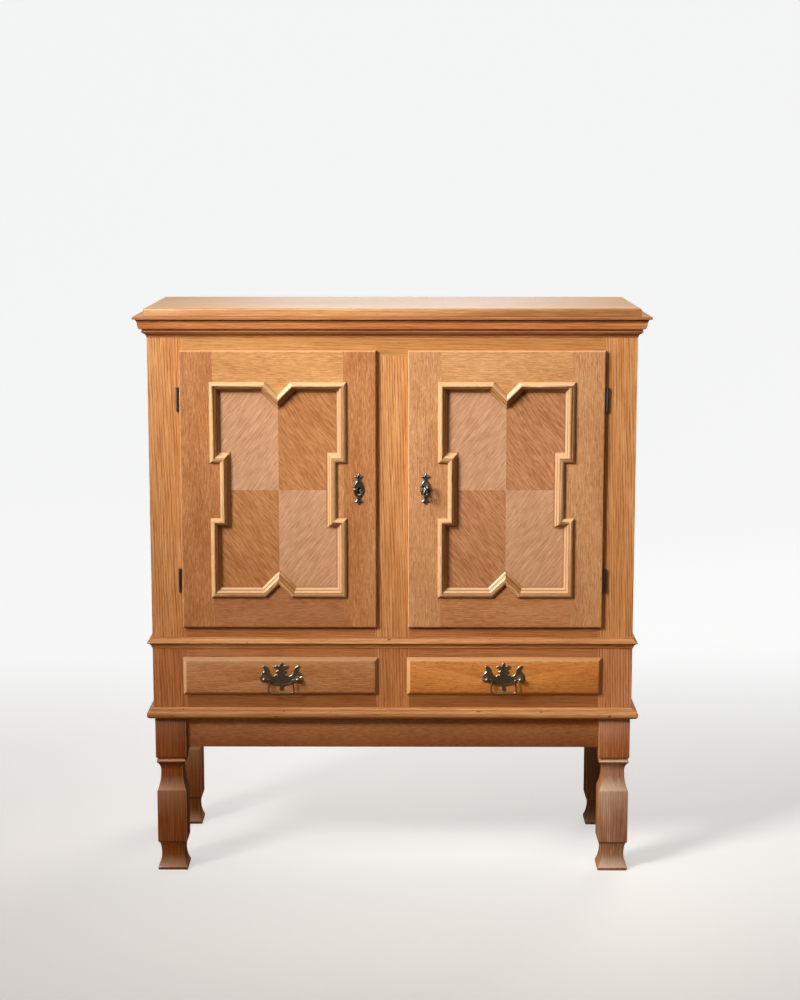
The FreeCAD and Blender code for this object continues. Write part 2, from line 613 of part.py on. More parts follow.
def build_door_moulding():
    """Mitred moulding with a stepped waist and V notches, and the fillers behind its steps."""
    half_w = (FIELD_X1 - FIELD_X0) / 2 + MOULD_LAP
    half_h = (FIELD_Z1 - FIELD_Z0) / 2 + MOULD_LAP
    waist = MOULD_WAIST_HEIGHT / 2
    notch = NOTCH_WIDTH / 2
    quarter = [
        (0, half_h - notch),
        (-notch, half_h),
        (-half_w, half_h),
        (-half_w, waist),
        (-half_w + MOULD_STEP, waist),
    ]
    lower = [(x, -z) for x, z in reversed(quarter)]
    left = quarter + lower
    outline = left + [(-x, z) for x, z in reversed(left[1:-1])]
    path = [V(FIELD_X + x, FACE_Y, FIELD_Z + z) for x, z in outline]
    w = MOULD_WIDTH
    h = MOULD_RISE
    d = PANEL_RECESS
    profile = [
        (0, 0),
        (0, 0.15 * h),
        ((0.10 * w, 0.68 * h), (0.35 * w, h)),
        (0.42 * w, h),
        (0.45 * w, 0.74 * h),
        ((0.58 * w, 0.60 * h), (0.67 * w, 0.28 * h)),
        (0.71 * w, 0.18 * h),
        (0.73 * w, -0.05 * d),
        ((0.81 * w, -0.52 * d), (0.96 * w, -0.78 * d)),
        (w, -0.78 * d),
        (w, -d),
        (MOULD_LAP, -d),
        (MOULD_LAP, 0),
    ]
    add_both("door_moulding", *mitred_strips(path, V(0, -1, 0), profile, 2 * w, True))

    filler_y = (FACE_Y, PANEL_Y)
    side_z = (FIELD_Z - waist - MOULD_LAP, FIELD_Z + waist + MOULD_LAP)
    fillers = [
        block((FIELD_X0, FIELD_X0 + MOULD_STEP), filler_y, side_z),
        block((FIELD_X1 - MOULD_STEP, FIELD_X1), filler_y, side_z),
    ]
    point = notch + MOULD_LAP * (math.sqrt(2) - 1)
    for edge, turn in ((FIELD_Z1, -1), (FIELD_Z0, 1)):
        corners = [(-point, 0), (point, 0), (0, point * turn)]
        wedge = face(corners, lambda s, t: V(FIELD_X + s, FACE_Y, edge + t))
        fillers.append(wedge.extrude(V(0, PANEL_RECESS, 0)))
    add_both("door_fillers", *fillers)


def lock_heights():
    """Lowest and highest z of a lock case."""
    return (KEY_Z - LOCK_HEIGHT / 2, KEY_Z + LOCK_HEIGHT / 2)


def build_locks():
    """Lock cases, bolts, escutcheons and the key in the right-hand lock."""
    case = block((TONGUE_X0, LOCK_X1), (LOCK_Y0, LOCK_Y1), lock_heights())
    bolt_y = (BOLT_Y0, BOLT_Y0 + BOLT_THICKNESS)
    bolt_z = (KEY_Z - BOLT_HEIGHT / 2, KEY_Z + BOLT_HEIGHT / 2)
    bolt_x = (TONGUE_X0 + BOLT_GAP, LOCK_X1 - LOCK_WALL - BOLT_GAP - BOLT_BACKLASH)
    channel = block(
        (TONGUE_X0, LOCK_X1 - LOCK_WALL),
        (bolt_y[0] - BOLT_GAP, bolt_y[1] + BOLT_GAP),
        (bolt_z[0] - BOLT_GAP, bolt_z[1] + BOLT_GAP),
    )
    chamber = rod(
        2 * (KEY_BIT_REACH + 2 * BOLT_GAP),
        V(KEY_X, BIT_Y0 - BOLT_GAP, KEY_Z),
        V(KEY_X, BOLT_Y0 - BOLT_GAP, KEY_Z),
    )
    hole = keyhole(LOCK_Y0).extrude(V(0, BIT_Y0 - LOCK_Y0, 0))
    add_both("lock_case", case.cut(channel).cut(chamber).cut(hole).removeSplitter())
    add_both("bolt", block(bolt_x, bolt_y, bolt_z))

    h = ESCUTCHEON_HEIGHT / 2
    w = ESCUTCHEON_WIDTH / 2
    upper = [
        (0, h),
        ((0.19 * w, 0.93 * h), (0.30 * w, 0.85 * h)),
        ((0.62 * w, 0.84 * h), (0.86 * w, 0.75 * h)),
        ((0.56 * w, 0.70 * h), (0.36 * w, 0.61 * h)),
        ((0.38 * w, 0.53 * h), (0.54 * w, 0.46 * h)),
        ((w, 0), (0.54 * w, -0.46 * h)),
    ]
    lower = [
        ((0.38 * w, -0.53 * h), (0.36 * w, -0.61 * h)),
        ((0.56 * w, -0.70 * h), (0.86 * w, -0.75 * h)),
        ((0.62 * w, -0.84 * h), (0.30 * w, -0.85 * h)),
        ((0.19 * w, -0.93 * h), (0, -h)),
    ]
    plate = face(symmetric(upper + lower), lambda s, t: V(KEY_X + s, ESCUTCHEON_Y, KEY_Z + t))
    opening = keyhole(ESCUTCHEON_Y).extrude(V(0, ESCUTCHEON_THICKNESS, 0))
    add_both("escutcheon", plate.extrude(V(0, ESCUTCHEON_THICKNESS, 0)).cut(opening))
    build_key()


def build_key():
    """Key with an oval bow, a collar and a bit, turned a little from upright."""
    bow_y1 = ESCUTCHEON_Y - KEY_NECK
    bow_y = bow_y1 - KEY_BOW_DEPTH / 2
    side_x = KEY_X - KEY_BOW_THICKNESS / 2

    def oval(width, depth):
        """Flat oval face of the bow, seen from the side of the key."""
        w = width / 2
        d = depth / 2
        turn = math.sqrt(0.5)
        steps = [
            (d, 0),
            ((d * turn, w * turn), (0, w)),
            ((-d * turn, w * turn), (-d, 0)),
            ((-d * turn, -w * turn), (0, -w)),
            ((d * turn, -w * turn), (d, 0)),
        ]
        return face(steps, lambda s, t: V(side_x, bow_y + s, KEY_Z + t))

    thick = V(KEY_BOW_THICKNESS, 0, 0)
    bow = oval(KEY_BOW_WIDTH, KEY_BOW_DEPTH).extrude(thick)
    rim = 2 * KEY_BOW_RIM
    bow = bow.cut(oval(KEY_BOW_WIDTH - rim, KEY_BOW_DEPTH - rim).extrude(thick))
    stem_y0 = bow_y1 - KEY_BOW_RIM / 2
    stem = rod(KEY_STEM, V(KEY_X, stem_y0, KEY_Z), V(KEY_X, BIT_Y0 + KEY_BIT_WIDTH, KEY_Z))
    collar = rod(KEY_COLLAR, V(KEY_X, bow_y1, KEY_Z), V(KEY_X, bow_y1 + KEY_NECK / 3, KEY_Z))
    bit = block(
        (KEY_X - KEY_BIT_THICKNESS / 2, KEY_X + KEY_BIT_THICKNESS / 2),
        (BIT_Y0, BIT_Y0 + KEY_BIT_WIDTH),
        (KEY_Z - KEY_BIT_REACH, KEY_Z),
    )
    key = bow.fuse([stem, collar, bit]).removeSplitter()
    key.rotate(V(KEY_X, 0, KEY_Z), V(0, 1, 0), KEY_TILT)
    add("key", key)


def build_drawers():
    """Lipped drawer fronts with a bevelled edge, and the boxes behind them."""
    front_x = (OPENING_X0 - DRAWER_INNER_LIP, OPENING_X1 + DRAWER_OUTER_LIP)
    front_z = (DRAWER_Z0 - DRAWER_LIP, DRAWER_Z1 + DRAWER_LIP)

    def rectangle(inset, y):
        """Outline of the drawer front, drawn in by an inset."""
        x0, x1 = front_x[0] + inset, front_x[1] - inset
        z0, z1 = front_z[0] + inset, front_z[1] - inset
        return Part.makePolygon([V(x0, y, z0), V(x1, y, z0), V(x1, y, z1), V(x0, y, z1), V(x0, y, z0)])

    edge_y = FACE_Y + DRAWER_BEVEL_DEPTH
    bevel = Part.makeLoft([rectangle(0, edge_y), rectangle(DRAWER_BEVEL_WIDTH, FACE_Y)], True, True)
    lip = block(front_x, (edge_y, LIP_Y1), front_z)
    box_z = (DRAWER_Z0 + DRAWER_RUN_GAP, DRAWER_Z1 - DRAWER_TOP_GAP)
    tongue_z = (DRAWER_Z0 + TONGUE_GAP, DRAWER_Z1 - TONGUE_GAP)
    tongue = block((TONGUE_X0, TONGUE_X1), (LIP_Y1, DOOR_BACK_Y), tongue_z)
    front = lip.fuse([bevel, tongue]).removeSplitter()

    box_y = (DOOR_BACK_Y, DRAWER_BACK_Y)
    inner_x = (TONGUE_X0 + DRAWER_SIDE_THICKNESS, TONGUE_X1 - DRAWER_SIDE_THICKNESS)
    floor_z0 = box_z[0] + DRAWER_BOTTOM_RISE
    floor_z1 = floor_z0 + DRAWER_BOTTOM_THICKNESS
    floor = block(
        (inner_x[0] - DRAWER_BOTTOM_GROOVE, inner_x[1] + DRAWER_BOTTOM_GROOVE),
        (DOOR_BACK_Y - DRAWER_BOTTOM_GROOVE, DRAWER_BACK_Y),
        (floor_z0, floor_z1),
    )
    front = front.cut(floor)
    for x in (PULL_X - PULL_CENTRES / 2, PULL_X + PULL_CENTRES / 2):
        hole = rod(POST_SHANK + 2 * POST_SHANK_PLAY, V(x, FACE_Y, PULL_Z), V(x, DOOR_BACK_Y, PULL_Z))
        front = front.cut(hole)
    add_both("drawer_front", front)
    back_y = (DRAWER_BACK_Y - DRAWER_SIDE_THICKNESS, DRAWER_BACK_Y)
    add_both(
        "drawer_box",
        block((TONGUE_X0, inner_x[0]), box_y, box_z).cut(floor),
        block((inner_x[1], TONGUE_X1), box_y, box_z).cut(floor),
        block(inner_x, back_y, (floor_z1, box_z[1])),
    )
    add_both("drawer_bottom", floor)


def build_pulls():
    """Bat-wing plates, ball-headed posts and swinging bails."""
    post = PULL_CENTRES / 2
    top = PLATE_TOP
    low = PLATE_BOTTOM
    right = [
        (0, top),
        ((0.085 * post, 0.90 * top), (0.14 * post, 0.79 * top)),
        ((0.34 * post, 0.80 * top), (0.47 * post, 0.67 * top)),
        ((0.35 * post, 0.60 * top), (0.21 * post, 0.51 * top)),
        ((0.31 * post, 0.46 * top), (0.34 * post, 0.37 * top)),
        ((0.27 * post, 0.32 * top), (0.28 * post, 0.25 * top)),
        ((0.38 * post, 0.25 * top), (0.44 * post, 0.18 * top)),
        ((0.63 * post, 0.27 * top), (0.73 * post, 0.50 * top)),
        ((0.81 * post, 0.67 * top), (post, 0.80 * top)),
        ((1.11 * post, 0.79 * top), (1.17 * post, 0.70 * top)),
        ((1.05 * post, 0.60 * top), (1.04 * post, 0.45 * top)),
        ((1.19 * post, 0.30 * top), (1.28 * post, 0.05 * top)),
        ((1.25 * post, -0.17 * low), (1.10 * post, -0.31 * low)),
        ((0.86 * post, -0.31 * low), (0.66 * post, -0.37 * low)),
        ((0.42 * post, -0.52 * low), (0.17 * post, -0.56 * low)),
        ((0.11 * post, -0.66 * low), (0.14 * post, -0.78 * low)),
        ((0.10 * post, -0.93 * low), (0, -low)),
    ]
    plate = face(symmetric(right), lambda s, t: V(PULL_X + s, PLATE_Y, PULL_Z + t))
    plate = plate.extrude(V(0, PLATE_THICKNESS, 0))

    neck = POST_NECK / 2
    shank = POST_SHANK / 2
    nut = POST_NUT / 2
    nut_y = DOOR_BACK_Y + POST_NUT_THICKNESS
    ball = POST_BALL / 2
    meet_y = BALL_Y + math.sqrt(ball**2 - neck**2)
    outline = [
        (0, BALL_Y - ball),
        ((ball, BALL_Y), (neck, meet_y)),
        (neck, PLATE_Y),
        (shank, PLATE_Y),
        (shank, DOOR_BACK_Y),
        (nut, DOOR_BACK_Y),
        (nut, nut_y),
        (0, nut_y),
    ]
    pin_x = post - ball / 2
    pin = BAIL_WIRE + 2 * BAIL_RUN_GAP
    posts = []
    for turn in (-1, 1):
        x = PULL_X + turn * post
        half = face(outline, lambda s, t: V(x + s, t, PULL_Z))
        turned = half.revolve(V(x, 0, PULL_Z), V(0, 1, 0), 360)
        eye_end = PULL_X + turn * (pin_x + BAIL_RUN_GAP)
        eye = rod(pin, V(PULL_X, BALL_Y, PULL_Z), V(eye_end, BALL_Y, PULL_Z))
        posts.append(turned.cut(eye))
        plate = plate.cut(rod(POST_SHANK, V(x, PLATE_Y, PULL_Z), V(x, FACE_Y, PULL_Z)))
    add_both("pull_plate", plate)
    add_both("pull_posts", *posts)

    neck_x = post - ball - BAIL_INSET
    right = [(pin_x, 0), (neck_x, 0), (neck_x + BAIL_FLARE, -BAIL_DROP)]
    route = right + [(-x, z) for x, z in reversed(right)]
    bends = [0, BAIL_NECK_BEND, BAIL_CORNER_BEND, BAIL_CORNER_BEND, BAIL_NECK_BEND, 0]
    points = [V(PULL_X + x, BALL_Y, PULL_Z + z) for x, z in route]
    wire = bent_path(points, bends)
    ring = Part.Wire(Part.Circle(points[0], V(1, 0, 0), BAIL_WIRE / 2).toShape())
    add_both("bail", wire.makePipeShell([ring], True, False))


def bent_path(points, bends):
    """Straight runs through the points, joined by tangent arcs of the given radii."""
    edges = []
    here = points[0]
    for before, corner, after, radius in zip(points, points[1:], points[2:], bends[1:]):
        back = (before - corner).normalize()
        on = (after - corner).normalize()
        half = back.getAngle(on) / 2
        reach = radius / math.tan(half)
        middle = (back + on).normalize()
        centre = corner + middle * (radius / math.sin(half))
        start = corner + back * reach
        end = corner + on * reach
        edges.append(Part.LineSegment(here, start).toShape())
        edges.append(Part.Arc(start, centre - middle * radius, end).toShape())
        here = end
    edges.append(Part.LineSegment(here, points[-1]).toShape())
    return Part.Wire(edges)


build_face_frame()
build_case()
build_case_mouldings()
build_stand()
build_hinges()
build_doors()
build_locks()
build_drawers()
build_pulls()

os.makedirs("parts", exist_ok=True)
for name, solids in NODES.items():
    placed = [solid.translated(V(0, -MIDDLE_Y, 0)) for solid in solids]
    shape = placed[0] if len(placed) == 1 else Part.makeCompound(placed)
    shape.exportStep("parts/" + name + ".step")
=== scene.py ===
"""Looks of an oak linen press: two panelled doors over two drawers, on a stand with four carved legs.

All pieces are in metres, in the frame of the solids: +Z up, the doors face -Y, the origin is on the floor.
"""

import logging
import math
from dataclasses import dataclass, replace
from enum import Enum
from typing import Any, Mapping, Optional, Sequence

import bpy
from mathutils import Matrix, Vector
from mathutils.kdtree import KDTree


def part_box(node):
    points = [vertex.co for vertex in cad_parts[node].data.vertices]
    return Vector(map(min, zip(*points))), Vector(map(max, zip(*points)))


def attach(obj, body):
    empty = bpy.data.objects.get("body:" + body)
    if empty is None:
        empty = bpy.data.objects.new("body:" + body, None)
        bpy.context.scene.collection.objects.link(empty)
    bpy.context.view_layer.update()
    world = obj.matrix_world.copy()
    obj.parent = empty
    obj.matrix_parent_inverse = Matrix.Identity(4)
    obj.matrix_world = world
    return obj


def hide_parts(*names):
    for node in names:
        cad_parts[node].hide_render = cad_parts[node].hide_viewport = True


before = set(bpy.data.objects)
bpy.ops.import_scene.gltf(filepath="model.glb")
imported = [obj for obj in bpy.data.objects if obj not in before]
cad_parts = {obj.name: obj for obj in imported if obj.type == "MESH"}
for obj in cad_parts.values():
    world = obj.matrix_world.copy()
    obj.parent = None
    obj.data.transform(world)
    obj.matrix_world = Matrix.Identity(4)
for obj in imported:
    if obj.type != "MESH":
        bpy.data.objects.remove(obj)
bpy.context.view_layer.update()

MM = 0.001
Socket = bpy.types.NodeSocket
Tree = bpy.types.NodeTree
Piece = bpy.types.Object
log = logging.getLogger("linen_press")

# Settings that many nodes share
COLOUR = {"data_type": "RGBA"}
TINT = {"data_type": "RGBA", "blend_type": "MULTIPLY"}
VECTOR = {"data_type": "VECTOR"}
SOFT = {"interpolation_type": "SMOOTHSTEP"}
MULTIPLY = {"operation": "MULTIPLY"}
SCALE_ADD = {"operation": "MULTIPLY_ADD"}
SUBTRACT = {"operation": "SUBTRACT"}
ABSOLUTE = {"operation": "ABSOLUTE"}
GREATER = {"operation": "GREATER_THAN"}
DOT = {"operation": "DOT_PRODUCT"}
CORNERS = {"samples": 6}

# Ranges of polish, wear, and painted light and shade: where each starts and ends, and how strong it is there
GLOSSY_STREAKS = {1: 0.3, 2: 0.7}
SCUFFED_STREAKS = {1: 0.55, 2: 0.72, 3: 0.0, 4: 0.3}
NICKED_SPOTS = {1: 0.81, 2: 0.84, 3: 0.0}
UPWARD_LIT_FACES = {1: 0.08, 2: 0.45, 3: 0.0, 4: 0.75}
LEFTWARD_LIT_FACES = {1: -0.6, 2: -0.3, 3: 0.85, 4: 0.0}
SHADED_GRIMY_CORNERS = {1: 0.2, 2: 0.8, 4: 0.0}
LIT_BEADS = {1: -0.1, 2: 0.3, 3: 0.15, 4: 0.45}
LIT_STEPS = {1: 0.15, 2: 0.5, 3: 0.0, 4: 0.6}
METAL_HOLLOWS = {1: 0.3, 2: 0.9, 3: 1.0, 4: 0.0}
METAL_PATCHES = {1: 0.42, 2: 0.62, 3: 0.0}
METAL_WORN_GLEAMING_RIDGES = {1: 0.56, 2: 0.70, 3: 0.0}
NICK_MM = (15.0, 5.0)
NICK = "3A1C08"
# Colour of grime and painted shade in corners and creases
GRIME_AND_SHADE = "4A2208"

# How a copy of a solid is merged, eased and smoothed
WELD_MM = 0.002
FLAT_DEGREES = 0.3
EASED_DEGREES = 38.0
CRISP_DEGREES = 24.0
MELT = 0.5


def linear(code: str) -> tuple[float, float, float, float]:
    """Turn an sRGB colour into linear light.

    Args:
        code: Colour as RRGGBB in hexadecimal.

    Returns:
        Red, green, blue and alpha for a colour socket.
    """
    values = [int(code[i : i + 2], 16) / 255 for i in (0, 2, 4)]
    light = [v / 12.92 if v <= 0.04045 else ((v + 0.055) / 1.055) ** 2.4 for v in values]
    return (light[0], light[1], light[2], 1.0)


def add_node(
    tree: Tree,
    kind: str,
    inputs: Optional[Mapping[Any, Any]] = None,
    props: Optional[Mapping[str, Any]] = None,
) -> bpy.types.NodeOutputs:
    """Add one node, set its properties, and set or link its inputs.

    Args:
        tree: Node tree that gets the node.
        kind: Type of the node, without its ShaderNode prefix.
        inputs: Names or numbers of inputs; a socket is linked and any other value is set.
        props: Attributes of the node and their values.

    Returns:
        Outputs of the new node.
    """
    node = tree.nodes.new("ShaderNode" + kind)
    for key, value in (props or {}).items():
        setattr(node, key, value)
    for key, value in (inputs or {}).items():
        if isinstance(value, Socket):
            tree.links.new(value, node.inputs[key])
        else:
            node.inputs[key].default_value = value
    return node.outputs


def cover(tree: Tree, base: Socket, value: Socket, ends: Mapping[int, float], code: str) -> Socket:
    """Lay a second colour where a value is in a range.

    Args:
        tree: Node tree of the material.
        base: First colour.
        value: Value that decides.
        ends: Ends of its range, and the share of the second colour at both.
        code: Second colour.

    Returns:
        Colour socket.
    """
    share = add_node(tree, "MapRange", {0: value, **ends})[0]
    return add_node(tree, "Mix", {0: share, 6: base, 7: linear(code)}, COLOUR)[2]


class Side(Enum):
    """Half of the press, seen from the front."""

    LEFT = -1
    RIGHT = 1

    def node(self, name: str) -> str:
        """Name of a node or body on this side."""
        return f"{self.name.lower()}_{name}"


class Grain(Enum):
    """Way in which the grain of a board runs."""

    UPRIGHT = "along Z"
    LEVEL = "along X"
    DEEP = "along Y"
    BOX = "along X on boards that face the front, along Y on the others"
    AROUND = "along the front and back along the sides, turned at the mitres"
    STRIP = "along each mitred strip, from its own map"
    LEAVES = "four leaves of veneer, their grain meeting in diamonds"


@dataclass(frozen=True)
class GrainPattern:
    """Figure of oak cut from a log, in real sizes: length along the grain, then width across it.

    Real pores are about 0.3 mm wide. They and the streaks are drawn coarser, so that they show in a
    picture of the whole press.
    """

    line_mm: float = 6.6
    line_from: float = 0.42
    line_peak: float = 0.85
    wander_mm: float = 9.0
    wander_spot_mm: tuple[float, float] = (460.0, 60.0)
    dash_mm: tuple[float, float] = (70.0, 2.6)
    dash_from: float = 0.4
    dash_full: float = 0.58
    dash_least: float = 0.15
    tone_mm: tuple[float, float] = (380.0, 30.0)
    streak_mm: tuple[float, float] = (70.0, 2.6)
    streak_share: float = 0.5
    pore_mm: tuple[float, float] = (24.0, 1.6)
    pore_from: float = 0.53
    pore_edge: float = 0.12
    stray_pores: float = 0.4
    slant: float = 0.0
    through: float = 0.45
    warp_mm: float = 0.0

    def noise(self, tree: Tree, space: Socket, spot_mm: tuple[float, float], detail: float) -> Socket:
        """Add noise that is drawn out along the grain.

        Args:
            tree: Node tree of the material.
            space: Place in metres, along the grain first.
            spot_mm: Length and width of its spots.
            detail: Octaves of finer noise.

        Returns:
            Noise between 0 and 1.
        """
        step = (1000 / spot_mm[0], 1000 / spot_mm[1], 1000 / spot_mm[1])
        place = add_node(tree, "VectorMath", {0: space, 1: step}, MULTIPLY)[0]
        return add_node(tree, "TexNoise", {"Vector": place, "Scale": 1.0, "Detail": detail})[0]

    def build(self, tree: Tree, space: Socket) -> dict[str, Socket]:
        """Add the nodes of the figure.

        Args:
            tree: Node tree of the material.
            space: Place in metres, along the grain first.

        Returns:
            Sockets between 0 and 1 for the tone, the year lines, the streaks and the pores.
        """
        along, across, through = add_node(tree, "SeparateXYZ", {0: space})
        slow = self.noise(tree, space, self.tone_mm, 2)
        wander = self.noise(tree, space, self.wander_spot_mm, 3)
        dash = self.noise(tree, space, self.dash_mm, 1)
        streak = self.noise(tree, space, self.streak_mm, 2)
        pore = self.noise(tree, space, self.pore_mm, 1)
        years = across
        for value, share in ((through, self.through), (along, self.slant), (wander, 2 * self.wander_mm * MM)):
            years = add_node(tree, "Math", {0: value, 1: share, 2: years}, SCALE_ADD)[0]
        years = add_node(tree, "Math", {0: years, 1: 1 / (self.line_mm * MM), 2: slow}, SCALE_ADD)[0]
        part = add_node(tree, "Math", {0: years}, {"operation": "FRACT"})[0]
        late = add_node(tree, "MapRange", {0: part, 1: self.line_from, 2: self.line_peak}, SOFT)[0]
        end = add_node(tree, "MapRange", {0: part, 1: self.line_peak, 2: 1.0, 3: 1.0, 4: 0.0}, SOFT)[0]
        line = add_node(tree, "Math", {0: late, 1: end}, MULTIPLY)[0]
        dashes = {0: dash, 1: self.dash_from, 2: self.dash_full, 3: self.dash_least, 4: 1.0}
        broken = add_node(tree, "MapRange", dashes)[0]
        line = add_node(tree, "Math", {0: line, 1: broken}, MULTIPLY)[0]
        stray = self.stray_pores
        dense = add_node(tree, "Math", {0: line, 1: 1.0 - stray, 2: stray}, SCALE_ADD)[0]
        holes = {0: pore, 1: self.pore_from, 2: self.pore_from + self.pore_edge}
        gap = add_node(tree, "MapRange", holes)[0]
        pores = add_node(tree, "Math", {0: gap, 1: dense}, MULTIPLY)[0]
        tone = add_node(tree, "Mix", {0: self.streak_share, 2: slow, 3: streak})[0]
        return {"tone": tone, "line": line, "streak": streak, "pore": pores}


@dataclass(frozen=True)
class Band:
    """Stretch of height where a board has a tint of its own. Some bands are the tone of the board itself;
    others paint shade or light.
    """

    low_mm: float
    high_mm: float
    tint: str
    fade_mm: float = 0.05

    def build(self, tree: Tree, wood: Socket) -> Socket:
        """Add the nodes that tint the wood between the two heights.

        Args:
            tree: Node tree of the material.
            wood: Colour of the wood.

        Returns:
            Colour socket.
        """
        place = add_node(tree, "TexCoord")["Object"]
        height = add_node(tree, "SeparateXYZ", {0: place})[2]
        low, high, fade = (size * MM for size in (self.low_mm, self.high_mm, self.fade_mm))
        above = add_node(tree, "MapRange", {0: height, 1: low - fade, 2: low + fade})[0]
        under = {0: height, 1: high - fade, 2: high + fade, 3: 1.0, 4: 0.0}
        below = add_node(tree, "MapRange", under)[0]
        inside = add_node(tree, "Math", {0: above, 1: below}, MULTIPLY)[0]
        return add_node(tree, "Mix", {0: inside, 6: wood, 7: linear(self.tint)}, TINT)[2]


@dataclass(frozen=True)
class EdgeHighlight:
    """Painted highlight along the left and top edge of a door, where the light from the upper left catches
    it, drawn about a pixel wide so that it shows from afar.
    """

    left_mm: float
    top_mm: float
    wide_mm: float = 2.2
    rubbed_and_highlight: str = "EBBE88"
    share: float = 0.4

    def build(self, tree: Tree, wood: Socket) -> Socket:
        """Add the nodes that paint the highlight along the two edges.

        Args:
            tree: Node tree of the material.
            wood: Colour of the wood.

        Returns:
            Colour socket.
        """
        place = add_node(tree, "TexCoord")["Object"]
        x, _, z = add_node(tree, "SeparateXYZ", {0: place})
        inward = add_node(tree, "Math", {0: x, 1: self.left_mm * MM}, SUBTRACT)[0]
        under = add_node(tree, "Math", {0: self.top_mm * MM, 1: z}, SUBTRACT)[0]
        inside = add_node(tree, "Math", {0: inward, 1: under}, {"operation": "MINIMUM"})[0]
        wide = self.wide_mm * MM
        return cover(tree, wood, inside, {1: 0.5 * wide, 2: wide, 3: self.share, 4: 0.0}, self.rubbed_and_highlight)


@dataclass(frozen=True)
class Finish:
    """Surface of a piece, built once and then found by its name."""

    name: str

    def material(self) -> bpy.types.Material:
        """Build this finish, or find it if it is built.

        Returns:
            The material.
        """
        made = bpy.data.materials.get(self.name)
        if not made:
            made = bpy.data.materials.new(self.name)
            made.use_nodes = True
            made.node_tree.nodes.clear()
            values = self.surface(made.node_tree)
            shader = add_node(made.node_tree, "BsdfPrincipled", values)
            add_node(made.node_tree, "OutputMaterial", {"Surface": shader[0]})
        return made

    def surface(self, tree: Tree) -> dict[str, Any]:
        """Add the nodes of the surface.

        Args:
            tree: Empty node tree of the material.

        Returns:
            Inputs of its shader.
        """
        raise NotImplementedError


